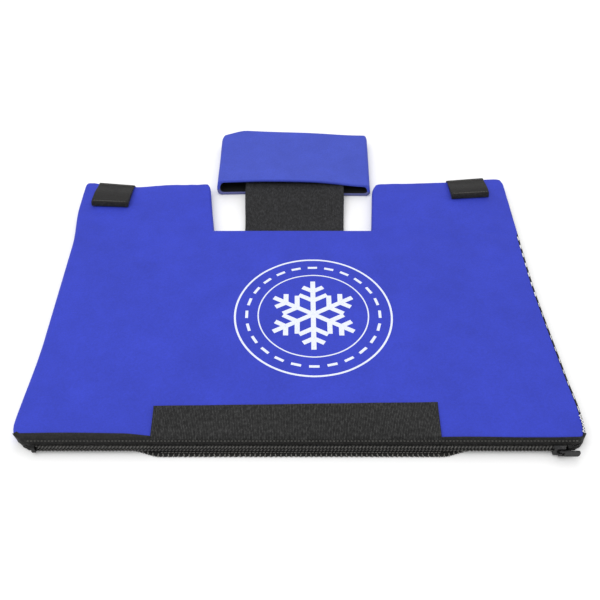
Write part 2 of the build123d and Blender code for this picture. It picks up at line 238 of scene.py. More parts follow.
# the shell's outline; a pair gives the places where a change along y or x starts and ends
FRONT_BEND = 12.0
FOLD_LINES = 13.0
EAR_BEND = 28.0
RIGHT_EAR_SLOPE = 8.0
RIGHT_EAR_LIFT = 2.4
RIGHT_EAR_LIFT_AT = (186.0, 200.0)
LEFT_EAR_LIFT = 3.4
LEFT_EAR_LIFT_AT = (-209.0, -218.0)
LEFT_EAR_DIP = 4.2
LEFT_EAR_DIP_X = -174.0
LEFT_EAR_DIP_WIDTH = 20.0
LEFT_EAR_EXTRA = 3.0
LEFT_EDGE_EASE = 1.0
LEFT_EAR_BULGE = 4.5
LEFT_EAR_BULGE_AT = (105.0, 165.0)
LEFT_FRONT_FLARE = 5.0
LEFT_FRONT_FLARE_AT = (-20.0, -130.0)
RIGHT_EDGE_HOLLOW = 6.6
RIGHT_EDGE_HOLLOW_AT = (FRONT_Y + 20, FRONT_Y + 190)
RIGHT_FRONT_FLARE = 1.6
RIGHT_FRONT_FLARE_AT = (-60.0, -100.0)
EDGE_SHIFT_START = 150.0
CORNER_TUCK = 5.0
CORNER_TUCK_REACH = 18.0
CORNER_UNDERCUT = 2.6
RIGHT_CORNER_TUCK = 2.6
FRONT_CORNER = 7.0
EAR_CORNER = {"left": 5.0, "right": 11.0}
INNER_CORNER = {"left": 7.0, "right": 13.0}
NOTCH_FLARE = {"left": 9.8, "right": 6.0}

# the shell's edges and faces
SIDE_EDGE_RADIUS = {"left": 5.5, "right": 2.6}
SEWN_EDGE_RADIUS = 2.2
CUT_EDGE_RADIUS = 1.6
EDGE_POWER = 2.2
EDGE_STEPS = (0.0, 0.25, 0.8, 1.7, 3.0, 4.8, 7.2, 10.5, 15.0)
GRID_STEP = 6.0
STRAP_PINCH = 14.0
PILLOW = 0.4
PILLOW_REACH = 14.0
NOTCH_LIFT = 0.9
NOTCH_LIFT_REACH = 26.0
CUT_SHOW = 3.3
CUT_SHOW_EAR = 0.9
CUT_SHOW_CHANGE_AT = (NOTCH_Y - 12, NOTCH_Y - 2)
FRONT_SHOW = 1.0
PRINT_CALM_AT = (70.0, 110.0)
PRINT_CALM = 0.25
PRINT_CELL = 8.0

# the cloth run that gives the upper face its unevenness
RELIEF = 0.6
CLOTH_STEP = 5.5
CLOTH_START = 0.6
CLOTH_SLACK = 0.004
CLOTH_PRESSURE = 4.0
CLOTH_BENDING = 0.5
CLOTH_FRAMES = 20
CLOTH_HELD = 1.0
CLOTH_SMOOTHING = 40
CLOTH_UNEVEN = 0.6

# the white overlock
THREAD_RADIUS = 0.42
STITCH_PITCH = (3.6, 6.0)
TOP_STITCH_PITCH = 13.0
TOP_STITCH_LENGTH = (4.4, 5.6)
TOP_STITCH_INSET = 2.6
DASH_RADIUS = 0.62
FAINT_DASH_RADIUS = 0.3
TOP_STITCH_BOLD = 26.0
LOOSE_REACH = 16.0
LOOSE_STEP = (1.2, 1.9)
LOOSE_RADIUS = 0.5
LOOSE_INSETS = (1.8, 3.4)

# the strap
STRAP_RIB = 2.4
STRAP_FLARE = 0.045
STRAP_FLARE_REACH = 70.0
STRAP_HIDDEN = 12.0
STRAP_RISE = 6.2
STRAP_RISE_START = 140.0
STRAP_TURN_FRONT = 14.0
STRAP_TURN_BACK = 3.0
STRAP_SPLIT_BACK = 12.0
STRAP_FOLD_FRONT = 1.5
STRAP_FOLD_BACK = 9.0

# the pocket
POCKET_WALL = 3.2
POCKET_ROUND = 4.0
POCKET_CORNER = {"left": 9.0, "right": 5.4}
POCKET_STEP = 4.5
POCKET_FAR_RIGHT = 9.5
POCKET_FAR_LEFT = 10.0
POCKET_TAPER = -1.0
POCKET_LIP = 16.6
POCKET_ARCH = 0.9
POCKET_SAG = 4.2
POCKET_FAR_HEIGHT = 14.0
POCKET_FAR_EXTRA = 3.0
POCKET_SIDE_EXTRA = 2.2
POCKET_SETTLE = 60.0
POCKET_MOUTH_WAVE = 1.6
POCKET_MOUTH_REACH = 30.0
POCKET_SEAM_SHARE = 0.42
POCKET_GAP = 3.6
POCKET_DRAWN_BACK = 3.2
POCKET_RIGHT_EXTRA = 1.8
LIP_BULGE = 1.1
LIP_ROWS = 6

# the closing tabs
TAB_CURL = 0.3
TAB_STITCH_PITCH = 2.9
WEB_GAP = 0.5
WEB_SECTIONS = 12
HOOK_HEIGHT = 0.5
HOOK_PITCH = 1.6
TAB_WEDGE = 3.9
TAB_STRETCH = {"left": 6.2, "right": 1.4}
TAB_WIDEN = {"left": 0.6, "right": 2.0}
TAB_BACK = {"left": 1.4, "right": 2.6}
TAB_LEAN = {"left": 2.4, "right": -2.6}
TAB_SKEW = {"left": 2.6, "right": -1.4}

# the elastic strip on the front
STRIP_LEFT_BACK = FRONT_Y + 29.0
STRIP_RIB = 1.3
STRIP_EXTRA = 1.2
STRIP_LEAN = 1.8
STRIP_RIB_DEPTH = 0.12

# the zipper
ZIP_REACH = 4.6
CORNER_WRAP = 1.1
COIL_PITCH = 2.8
TAPE_OVERLAP_LEFT = 4.4
TAPE_OVERLAP = 0.6
TAPE_OVERLAP_CHANGE_AT = (-105.0, -145.0)
BACKING_REACH = 1.3
HEM_MIDDLE = 10.6
HEM_SIDE = 4.9
HEM_SIDE_WAVE = 0.4
HEM_RAMP_START = 112.0
HEM_RAMP_END = 138.0
HEM_PITCH = 4.0
HEM_LIFT = 1.0
STITCH_STEP = 2.8
STITCH_RADIUS = 0.24

# the studio
WORLD_STRENGTH = 0.85
LIGHTS = (("key_light", (-0.6, -0.5, 1.9), 2.2, 20.5), ("back_light", (0.3, 1.4, 1.5), 2.0, 9.0))
CAMERA_LENS = 769 / 600 * 36
CAMERA_SHIFT = 0.005
CAMERA_PLACE = (-3.4, -466.7, 531.0)
CAMERA_DOWN = 46.5


# ---------------------------------------------------------------- small mesh tools

def mesh(name, points, faces, materials, face_material=None, rounded=True):
    """A mesh piece from points in millimetres. Its rest places are kept for its textures."""
    data = bpy.data.meshes.new(name)
    points = np.asarray(points, float).reshape(-1, 3) * MM
    data.from_pydata(points.tolist(), [], [list(map(int, face)) for face in faces])
    for material in materials:
        data.materials.append(material)
    if face_material is not None:
        data.polygons.foreach_set("material_index", np.asarray(face_material, np.int32))
    data.polygons.foreach_set("use_smooth", [rounded] * len(data.polygons))
    rest = data.attributes.new("rest", "FLOAT_VECTOR", "POINT")
    rest.data.foreach_set("vector", points.astype(np.float32).ravel())
    data.update()
    piece = bpy.data.objects.new(name, data)
    bpy.context.scene.collection.objects.link(piece)
    return piece


def outfit(piece, slot, body=None, stands_for=()):
    """Gives a piece its slot and the CAD nodes that it stands for, and lets it ride on a body."""
    if stands_for:
        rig.replaces(piece, *stands_for)
    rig.slot(piece, slot)
    if body:
        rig.ride(piece, body)


def smooth(t):
    """Eases a value from 0 to 1."""
    t = np.clip(t, 0, 1)
    return t * t * (3 - 2 * t)


def ramp(value, start, end):
    """Eases from 0 where the value is at start to 1 where it is at end."""
    return smooth((value - start) / (end - start))


def layer(x, y, z, under=False):
    """Points and faces of one grid layer, facing up, or down for an under side."""
    return np.dstack([x, y, z]).reshape(-1, 3), grid_faces(*x.shape, flip=under)


def loft(name, rows, count, material):
    """A solid piece through closed sections of count points each, with crisp flat ends."""
    sections = len(rows) // count
    caps = [list(range(count)), [(sections - 1) * count + k for k in range(count)][::-1]]
    piece = mesh(name, rows, grid_faces(sections, count, wrap=True) + caps, [material])
    for polygon in piece.data.polygons:
        if len(polygon.vertices) > 4:
            polygon.use_smooth = False
    return piece


def grid_faces(rows, columns, start=0, wrap=False, flip=False):
    """Quads of a grid of points stored row by row; wrap joins the last column to the first."""
    faces = []
    for row in range(rows - 1):
        for column in range(columns if wrap else columns - 1):
            beside = (column + 1) % columns
            quad = [start + row * columns + column, start + row * columns + beside,
                    start + (row + 1) * columns + beside, start + (row + 1) * columns + column]
            faces.append(quad[::-1] if flip else quad)
    return faces


def lines(low, high, step, edge_low, edge_high):
    """Grid places from low to high, close together at a free edge and even between."""
    head = [low + e for e in EDGE_STEPS] if edge_low else [low]
    tail = [high - e for e in reversed(EDGE_STEPS)] if edge_high else [high]
    count = max(1, round((tail[0] - head[-1]) / step))
    body = np.linspace(head[-1], tail[0], count + 1)[1:-1]
    return np.array(head + list(body) + tail)


def profile(distance, radius, power):
    """How much of its full height a padded edge has at a distance from the edge: 0 to 1."""
    t = np.clip(1 - distance / radius, 0, 1)
    return np.clip(1 - t ** power, 0, 1) ** (1 / power)


def round_corner(a, b, radius):
    """Moves points of a square corner onto a round one; a and b are distances from its two sides."""
    u = np.clip(1 - a / radius, 0, 1)
    v = np.clip(1 - b / radius, 0, 1)
    inside = (u > 0) & (v > 0)
    new_a = np.where(inside, radius * (1 - u * np.sqrt(1 - v * v / 2)), a)
    new_b = np.where(inside, radius * (1 - v * np.sqrt(1 - u * u / 2)), b)
    return new_a, new_b


def tube(points, radius, sides=6):
    """Points and faces of a closed tube along a few points."""
    points = np.asarray(points, float)
    ahead = np.gradient(points, axis=0)
    ahead /= np.linalg.norm(ahead, axis=1)[:, None]
    guide = np.array([0.0, 0.0, 1.0]) if abs(ahead[0][2]) < 0.9 else np.array([1.0, 0.0, 0.0])
    side = np.cross(ahead, guide)
    side /= np.linalg.norm(side, axis=1)[:, None]
    up = np.cross(side, ahead)
    turns = np.linspace(0, 2 * math.pi, sides, endpoint=False)
    ring = (np.cos(turns)[None, :, None] * side[:, None, :] + np.sin(turns)[None, :, None] * up[:, None, :])
    shell = (points[:, None, :] + radius * ring).reshape(-1, 3)
    faces = grid_faces(len(points), sides, wrap=True)
    faces.append(list(range(sides))[::-1])
    faces.append([len(shell) - sides + k for k in range(sides)])
    return shell, faces


def many(parts):
    """Joins (points, faces) pairs into one pair."""
    points, faces, start = [], [], 0
    for part_points, part_faces in parts:
        points.append(np.asarray(part_points, float))
        faces += [[start + index for index in face] for face in part_faces]
        start += len(part_points)
    return np.concatenate(points), faces


# ---------------------------------------------------------------- materials

class Paint:
    """A material with a few short ways to add and link its nodes. Lengths are in millimetres."""

    def __init__(self, name, rest=True):
        """Starts from the places kept by mesh(), or from the object's own when rest is off."""
        self.material = bpy.data.materials.new(name)
        self.material.use_nodes = True
        self.tree = self.material.node_tree
        self.shader = self.tree.nodes["Principled BSDF"]
        if rest:
            source = self.add("ShaderNodeAttribute")
            source.attribute_name = "rest"
            place = source.outputs["Vector"]
        else:
            place = self.add("ShaderNodeTexCoord").outputs["Object"]
        scale = self.add("ShaderNodeVectorMath")
        scale.operation = "SCALE"
        self.link(place, scale.inputs[0])
        scale.inputs["Scale"].default_value = 1 / MM
        self.place = scale.outputs[0]
        split = self.add("ShaderNodeSeparateXYZ")
        self.link(self.place, split.inputs[0])
        self.x, self.y, self.z = split.outputs

    def add(self, kind):
        """A new node."""
        return self.tree.nodes.new(kind)

    def link(self, a, b):
        """Sets socket b to a number, or links it to socket a."""
        if isinstance(a, (int, float)):
            b.default_value = a
        else:
            self.tree.links.new(a, b)

    def math(self, operation, a, b=0.0, c=0.0):
        """The result of one sum on sockets or numbers."""
        node = self.add("ShaderNodeMath")
        node.operation = operation
        for value, socket in zip((a, b, c), node.inputs):
            self.link(value, socket)
        return node.outputs[0]

    def noise(self, size, detail=2.0, roughness=0.5, stretch=(1, 1, 1)):
        """Noise from 0 to 1 whose blotches are about size across."""
        node = self.add("ShaderNodeTexNoise")
        node.inputs["Scale"].default_value = 1 / size
        node.inputs["Detail"].default_value = detail
        node.inputs["Roughness"].default_value = roughness
        if stretch == (1, 1, 1):
            self.link(self.place, node.inputs["Vector"])
        else:
            warp = self.add("ShaderNodeVectorMath")
            warp.operation = "MULTIPLY"
            self.link(self.place, warp.inputs[0])
            warp.inputs[1].default_value = stretch
            self.link(warp.outputs[0], node.inputs["Vector"])
        return node.outputs["Fac"]

    def ripple(self, along, pitch, phase=0.0):
        """A wave from -1 to 1 along one coordinate."""
        return self.math("SINE", self.math("MULTIPLY_ADD", along, 2 * math.pi / pitch, phase))

    def colour(self, factor, *stops):
        """The base colour, from (place, colour) stops along a factor."""
        ramp = self.add("ShaderNodeValToRGB")
        while len(ramp.color_ramp.elements) < len(stops):
            ramp.color_ramp.elements.new(0.5)
        for element, (place, value) in zip(ramp.color_ramp.elements, stops):
            element.position = place
            element.color = (*value, 1)
        self.link(factor, ramp.inputs["Fac"])
        self.link(ramp.outputs["Color"], self.shader.inputs["Base Color"])

    def rough(self, factor, low, high):
        """Roughness between two values, by a factor from 0 to 1."""
        node = self.add("ShaderNodeMapRange")
        self.link(factor, node.inputs["Value"])
        node.inputs["To Min"].default_value = low
        node.inputs["To Max"].default_value = high
        self.link(node.outputs["Result"], self.shader.inputs["Roughness"])

    def bump(self, height, depth, strength=1.0):
        """A bump whose height from 0 to 1 stands for a depth in millimetres."""
        node = self.add("ShaderNodeBump")
        node.inputs["Strength"].default_value = strength
        node.inputs["Distance"].default_value = depth * MM
        self.link(height, node.inputs["Height"])
        self.link(node.outputs["Normal"], self.shader.inputs["Normal"])

    def set(self, **values):
        """Even values, set on the shader's own sockets."""
        for name, value in values.items():
            self.shader.inputs[name.replace("_", " ")].default_value = value
        return self.material


def shade(colour, factor):
    """A colour made lighter or darker."""
    return tuple(min(1.0, channel * factor) for channel in colour)


BLUE = (0.029, 0.045, 0.425)
# The pocket's blue is the panel's blue made lighter in red and green: painted light, so that the pocket looks brighter
# than the panel.
POCKET_LIT_BLUE = (0.045, 0.069, 0.425)
BLACK = (0.022, 0.022, 0.023)


def neoprene_paint(name, colour, fuzz=0.04):
    """Nylon knit on neoprene: fine wales and courses, soft mottling and a little fuzz."""
    paint = Paint(name)
    wales = paint.ripple(paint.x, 0.9)
    courses = paint.ripple(paint.y, 0.7)
    knit = paint.math("MULTIPLY", wales, courses)
    grain = paint.noise(1.6, detail=4, roughness=0.75)
    mottle = paint.noise(30.0, detail=4, roughness=0.6)
    tone = paint.math("MULTIPLY_ADD", knit, 0.08, grain)
    tone = paint.math("MULTIPLY_ADD", mottle, 0.60, tone)
    tone = paint.math("MULTIPLY", tone, 0.63)
    paint.colour(tone, (0.30, shade(colour, 0.80)), (0.50, colour), (0.70, shade(colour, 1.22)))
    paint.rough(grain, 0.62, 0.82)
    relief = paint.math("MULTIPLY_ADD", knit, 0.5, paint.math("MULTIPLY", grain, 0.9))
    paint.bump(relief, 0.10, 0.55)
    return paint.set(Sheen_Weight=fuzz, Sheen_Roughness=0.45, Sheen_Tint=(*shade(colour, 1.8), 1),
                     Specular_IOR_Level=0.22)


def foam_paint():
    """The cut edge of black neoprene foam: matt, with fine pores."""
    paint = Paint("foam_edge")
    pores = paint.noise(0.5, detail=3, roughness=0.7)
    paint.colour(pores, (0.3, (0.006, 0.006, 0.007)), (0.7, (0.020, 0.020, 0.022)))
    paint.rough(pores, 0.75, 0.95)
    paint.bump(pores, 0.25, 0.8)
    return paint.set(Specular_IOR_Level=0.2)


def elastic_paint(name, rib, colour, depth):
    """Ribbed woven elastic: cords along y, crossed by the weft, with dusty highlights."""
    paint = Paint(name)
    cords = paint.ripple(paint.x, rib)
    weft = paint.ripple(paint.y, 0.55, phase=1.3)
    weave = paint.math("MULTIPLY", cords, weft)
    grain = paint.noise(0.6, detail=3, roughness=0.7)
    lint = paint.noise(2.2, detail=4, roughness=0.75, stretch=(1.3, 0.6, 1))
    tone = paint.math("MULTIPLY_ADD", cords, 0.10, lint)
    tone = paint.math("MULTIPLY_ADD", grain, 0.35, tone)
    tone = paint.math("MULTIPLY", tone, 0.74)
    paint.colour(tone, (0.36, shade(colour, 0.1)), (0.50, shade(colour, 0.9)), (0.66, shade(colour, 4.0)))
    paint.rough(grain, 0.58, 0.85)
    relief = paint.math("MULTIPLY_ADD", weave, 0.35, paint.math("MULTIPLY_ADD", cords, 0.5, grain))
    paint.bump(relief, depth, 0.8)
    return paint.set(Sheen_Weight=0.03, Sheen_Roughness=0.5, Specular_IOR_Level=0.25)


def tape_paint(name, colour, pitch, depth=0.12):
    """Plain woven tape: over and under both ways, with a few lighter fibres."""
    paint = Paint(name)
    warp = paint.ripple(paint.x, pitch)
    weft = paint.ripple(paint.math("ADD", paint.y, paint.z), pitch * 1.2)
    weave = paint.math("MULTIPLY", warp, weft)
    grain = paint.noise(1.8, detail=4, roughness=0.8)
    tone = paint.math("MULTIPLY_ADD", weave, 0.14, grain)
    paint.colour(tone, (0.36, shade(colour, 0.2)), (0.50, shade(colour, 0.9)), (0.68, shade(colour, 3.6)))
    paint.rough(grain, 0.6, 0.9)
    paint.bump(paint.math("MULTIPLY_ADD", weave, 0.5, grain), depth, 0.8)
    return paint.set(Sheen_Weight=0.04, Sheen_Roughness=0.5, Specular_IOR_Level=0.25)


def thread_paint(name, colour):
    """Spun thread: fine slanting twist, slightly uneven in tone."""
    paint = Paint(name)
    twist = paint.ripple(paint.math("ADD", paint.math("ADD", paint.x, paint.y), paint.z), 0.45)
    grain = paint.noise(1.5, detail=2)
    paint.colour(paint.math("MULTIPLY_ADD", twist, 0.15, grain),
                 (0.25, shade(colour, 0.7)), (0.7, colour))
    paint.rough(grain, 0.5, 0.75)
    paint.bump(twist, 0.08, 0.6)
    return paint.set(Sheen_Weight=0.2)


def print_paint():
    """White screen print that lets a little of the knit show and has worn specks."""
    paint = Paint("screen_print", rest=False)
    knit = paint.math("MULTIPLY", paint.ripple(paint.x, 0.9), paint.ripple(paint.y, 0.7))
    grain = paint.noise(0.9, detail=3, roughness=0.7)
    wear = paint.math("MULTIPLY_ADD", knit, 0.08, grain)
    paint.colour(wear, (0.24, (0.30, 0.35, 0.70)), (0.36, (0.56, 0.60, 0.78)), (0.5, (0.70, 0.73, 0.82)))
    paint.rough(grain, 0.5, 0.7)
    paint.bump(paint.math("MULTIPLY_ADD", knit, 0.4, grain), 0.06, 0.5)
    return paint.set(Specular_IOR_Level=0.35)


def coil_paint(name, colour, gloss):
    """Nylon of the coil with a satin gloss and slight haze."""
    paint = Paint(name)
    haze = paint.noise(2.0, detail=2)
    paint.colour(haze, (0.3, shade(colour, 0.5)), (0.75, shade(colour, 1.5)))
    paint.rough(haze, 0.28, 0.48)
    return paint.set(Specular_IOR_Level=gloss)


def enamel_paint():
    """Black enamel on the slider, rubbed brighter in places."""
    paint = Paint("black_enamel", rest=False)
    rub = paint.noise(1.4, detail=4, roughness=0.65)
    paint.colour(rub, (0.55, (0.012, 0.012, 0.013)), (0.75, (0.09, 0.088, 0.085)))
    paint.rough(rub, 0.25, 0.5)
    paint.bump(rub, 0.03, 0.4)
    return paint.set(Metallic=0.6)


def hook_paint():
    """Hook tape: rows of tiny stiff hooks."""
    paint = Paint("hook_tape")
    rows = paint.math("MULTIPLY", paint.ripple(paint.x, 1.3), paint.ripple(paint.y, 1.5))
    grain = paint.noise(0.5, detail=2)
    paint.colour(paint.math("MULTIPLY_ADD", rows, 0.3, grain),
                 (0.3, shade(BLACK, 0.5)), (0.8, shade(BLACK, 1.8)))
    paint.rough(grain, 0.35, 0.6)
    paint.bump(paint.math("MULTIPLY_ADD", rows, 0.5, grain), 0.5, 1.0)
    return paint.set(Specular_IOR_Level=0.4)


def ice_paint(name, colour):
    """Sealed plastic film over coolant: glossy, clouded and faintly crinkled."""
    paint = Paint(name, rest=False)
    cloud = paint.noise(7.0, detail=4)
    paint.colour(cloud, (0.3, shade(colour, 0.8)), (0.7, colour))
    paint.rough(cloud, 0.12, 0.3)
    paint.bump(cloud, 0.4, 0.4)
    return paint.set(Coat_Weight=0.4)


NEOPRENE = neoprene_paint("blue_knit_neoprene", BLUE)
LINING = neoprene_paint("black_knit_lining", shade(BLACK, 0.4), fuzz=0.0)
LIP = neoprene_paint("grey_blue_lip", (0.10, 0.11, 0.27))
POCKET_CLOTH_LIT = neoprene_paint("pocket_knit_neoprene", POCKET_LIT_BLUE)
FOAM = foam_paint()
STRAP = elastic_paint("strap_elastic_weave", 1.15, (0.0088, 0.0088, 0.0096), 0.16)
STRIP = elastic_paint("strip_elastic_weave", 1.30, (0.0125, 0.0125, 0.0125), 0.22)
TAB = tape_paint("tab_webbing", (0.0088, 0.0084, 0.0082), 1.0, 0.35)
ZIP_TAPE = tape_paint("zipper_tape_weave", (0.0065, 0.0064, 0.006), 0.7)
WHITE_THREAD = thread_paint("white_overlock_thread", (0.93, 0.93, 0.92))
# The black thread is coloured mid-grey: painted highlight standing in for light catching the stitches on the dark
# tape.
BLACK_THREAD_PAINTED_HIGHLIGHT = thread_paint("black_thread", (0.190, 0.184, 0.165))
PRINT = print_paint()
# The coil turns are coloured several times lighter than the black tape and the core cord: painted highlight standing
# in for the gloss on each turn.
COIL = coil_paint("nylon_coil", (0.055, 0.053, 0.049), 0.5)
STOP = coil_paint("nylon_stop", (0.006, 0.006, 0.006), 0.15)
CORD = coil_paint("coil_cord", (0.006, 0.006, 0.006), 0.3)
ENAMEL = enamel_paint()
HOOK = hook_paint()
FILM = ice_paint("insert_film", (0.75, 0.82, 0.90))
COOLANT = ice_paint("insert_coolant", (0.45, 0.66, 0.88))


# ---------------------------------------------------------------- the padded shell

RIGHT_BACK = RIGHT_EAR_HIGH[1] - RIGHT_EAR_SLOPE
EAR_FINE_Y = NOTCH_Y + EAR_BEND


def slow_waves(x, y):
    """Long low waves, from about -1 to 1."""
    return (np.sin(x / 31.0 + 0.8 * np.sin(y / 43.0)) * np.cos(y / 37.0 + 0.5)
            + 0.7 * np.sin((x + 1.6 * y) / 57.0 + 2.1) + 0.4 * np.sin((1.3 * x - y) / 23.0)) / 2.1


def settled_sheet():
    """Heights of the padded face after a cloth run: a sheet with a little slack, held along its seams
    and at the notch and puffed up from below. Returns the grid's x and y places and the heights."""
    xs = np.linspace(-HALF_WIDTH, HALF_WIDTH, round(2 * HALF_WIDTH / CLOTH_STEP))
    ys = np.linspace(FRONT_Y, RIGHT_EAR_HIGH[1], round((RIGHT_EAR_HIGH[1] - FRONT_Y) / CLOTH_STEP))
    x, y = np.meshgrid(xs, ys)
    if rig.quick():
        return xs, ys, np.zeros_like(x)
    sheet = mesh("settling_sheet", *layer(x, y, CLOTH_START * slow_waves(x, y)), [])
    seam = (abs(x) > HALF_WIDTH - CLOTH_HELD) | (y < ys[0] + CLOTH_HELD) | (y > ys[-1] - CLOTH_HELD)
    notch = (x > NOTCH_LEFT) & (x < NOTCH_RIGHT) & (y > NOTCH_Y)
    held = sheet.vertex_groups.new(name="held")
    held.add(np.flatnonzero((seam | notch).ravel()).tolist(), 1.0, "REPLACE")
    settings = sheet.modifiers.new("settling", "CLOTH").settings
    settings.vertex_group_mass = "held"
    settings.effector_weights.gravity = 0
    settings.use_pressure = True
    settings.uniform_pressure_force = CLOTH_PRESSURE
    settings.shrink_min = -CLOTH_SLACK
    settings.bending_stiffness = CLOTH_BENDING
    for count in range(1, CLOTH_FRAMES + 1):
        bpy.context.scene.frame_set(count)
    ready = sheet.evaluated_get(bpy.context.evaluated_depsgraph_get())
    heights = np.array([vertex.co.z for vertex in ready.data.vertices]).reshape(x.shape) / MM
    bpy.context.scene.frame_set(1)
    bpy.data.meshes.remove(sheet.data)
    return xs, ys, np.tanh((heights - broad_swell(heights)) / CLOTH_UNEVEN)


def broad_swell(heights):
    """The heights' broad swell, with everything finer smoothed away."""
    for _ in range(CLOTH_SMOOTHING):
        padded = np.pad(heights, 1, mode="edge")
        heights = (padded[:-2, 1:-1] + padded[2:, 1:-1] + padded[1:-1, :-2] + padded[1:-1, 2:]) / 4
    return heights


SETTLED = settled_sheet()


def relief(x, y):
    """Unevenness of the top face from -1 to 1, read off the settled sheet and fading under the print."""
    xs, ys, heights = SETTLED
    column = np.clip((x - xs[0]) / (xs[1] - xs[0]), 0, len(xs) - 1.001)
    row = np.clip((y - ys[0]) / (ys[1] - ys[0]), 0, len(ys) - 1.001)
    left, low = column.astype(int), row.astype(int)
    u, v = column - left, row - low
    height = ((heights[low, left] * (1 - u) + heights[low, left + 1] * u) * (1 - v)
              + (heights[low + 1, left] * (1 - u) + heights[low + 1, left + 1] * u) * v)
    rough = ramp(np.hypot(x - PRINT_X, y - PRINT_Y), *PRINT_CALM_AT)
    return height * (PRINT_CALM + (1 - PRINT_CALM) * rough)


def wander(points):
    """Moves the points of the two long sides a little, since neither was cut or folded quite straight."""
    points = np.array(points, float)
    x, y = points[:, 0], points[:, 1]
    corner = np.clip((FRONT_Y + CORNER_TUCK_REACH - y) / CORNER_TUCK_REACH, 0, 1) ** 2
    undercut = CORNER_UNDERCUT * smooth(1 - points[:, 2] / TOP)
    left = (LEFT_EDGE_EASE + LEFT_EAR_BULGE * ramp(y, *LEFT_EAR_BULGE_AT)
            + LEFT_FRONT_FLARE * ramp(y, *LEFT_FRONT_FLARE_AT) - corner * (CORNER_TUCK + undercut))
    right = (RIGHT_EDGE_HOLLOW * ramp(y, *RIGHT_EDGE_HOLLOW_AT) + corner * RIGHT_CORNER_TUCK
             - RIGHT_FRONT_FLARE * ramp(y, *RIGHT_FRONT_FLARE_AT))
    points[:, 0] = (x - left * ramp(-x, EDGE_SHIFT_START, HALF_WIDTH)
                    - right * ramp(x, EDGE_SHIFT_START, HALF_WIDTH))
    return points


def beside_notch(x):
    """How far to the left or right of the notch a point lies."""
    return np.maximum(np.maximum(NOTCH_LEFT - x, x - NOTCH_RIGHT), 0)


def notch_distance(x, y):
    """Distance from a point of the panel to the notch."""
    return np.hypot(beside_notch(x), np.maximum(NOTCH_Y - y, 0))


def seam_height(x, y):
    """Height at which the top and bottom layers meet: lower where the strap comes out."""
    near = smooth(1 - np.hypot(beside_notch(x), y - NOTCH_Y) / STRAP_PINCH)
    return MID - (MID - STRAP_MID_Z) * near


def surface(x, y, edges):
    """Top and bottom heights; edges is a list of (distance from an edge, radius of that edge)."""
    full = np.ones_like(x)
    rim = np.full_like(x, np.inf)
    for distance, radius in edges:
        full = full * profile(distance, radius, EDGE_POWER)
        rim = np.minimum(rim, distance)
    seam = seam_height(x, y)
    pillow = PILLOW * (1 - np.exp(-rim / PILLOW_REACH))
    top = TOP - PILLOW + pillow + RELIEF * (relief(x, y) - 0.5)
    top = top + NOTCH_LIFT * smooth(1 - notch_distance(x, y) / NOTCH_LIFT_REACH)
    return seam + (top - seam) * full, seam * (1 - full)


def panel_patch(xs, ys):
    """Grid of the main panel with its two rounded front corners."""
    x, y = np.meshgrid(xs, ys)
    left, right, front = x + HALF_WIDTH, HALF_WIDTH - x, y - FRONT_Y
    edges = [(left, SIDE_EDGE_RADIUS["left"]), (right, SIDE_EDGE_RADIUS["right"]),
             (front, CUT_EDGE_RADIUS), (notch_distance(x, y), SEWN_EDGE_RADIUS)]
    new_left, new_front = round_corner(left, front, FRONT_CORNER)
    new_right, newer_front = round_corner(right, new_front, FRONT_CORNER)
    x = np.where(x < 0, new_left - HALF_WIDTH, HALF_WIDTH - new_right)
    y = FRONT_Y + newer_front
    return x, y, surface(x, y, edges)


def ear_stretch(side, x):
    """How much further back than its straight outline an ear's back edge lies."""
    if side == "left":
        dip = LEFT_EAR_DIP * np.exp(-((x - LEFT_EAR_DIP_X) / LEFT_EAR_DIP_WIDTH) ** 2)
        return LEFT_EAR_EXTRA + LEFT_EAR_LIFT * ramp(x, *LEFT_EAR_LIFT_AT) - dip
    inner_x = NOTCH_RIGHT + NOTCH_FLARE[side]
    slope = RIGHT_EAR_SLOPE * (x - inner_x) / (HALF_WIDTH - inner_x)
    return slope + RIGHT_EAR_LIFT * ramp(x, *RIGHT_EAR_LIFT_AT)


def ear_patch(xs, ys, side):
    """Grid of one ear; ys run to the depth of its notch side."""
    x, y = np.meshgrid(xs, ys)
    sign, notch = (-1, NOTCH_LEFT) if side == "left" else (1, NOTCH_RIGHT)
    outer, inner, back = HALF_WIDTH - sign * x, sign * (x - notch), ys[-1] - y
    edges = [(outer, SIDE_EDGE_RADIUS[side]), (inner, SEWN_EDGE_RADIUS), (back, SEWN_EDGE_RADIUS)]
    outer_half = outer < inner
    outer, back = round_corner(outer, back, EAR_CORNER[side])
    inner, back = round_corner(inner, back, INNER_CORNER[side])
    flare = NOTCH_FLARE[side] * (ys[-1] - back - NOTCH_Y) / (ys[-1] - NOTCH_Y)
    narrow = 1 - flare / (HALF_WIDTH - sign * notch)
    x = np.where(outer_half, sign * (HALF_WIDTH - outer * narrow), notch + sign * (flare + inner * narrow))
    y = ys[-1] - back
    y = y + ear_stretch(side, x) * ramp(y, EAR_FINE_Y, ys[-1])
    return x, y, surface(x, y, edges)


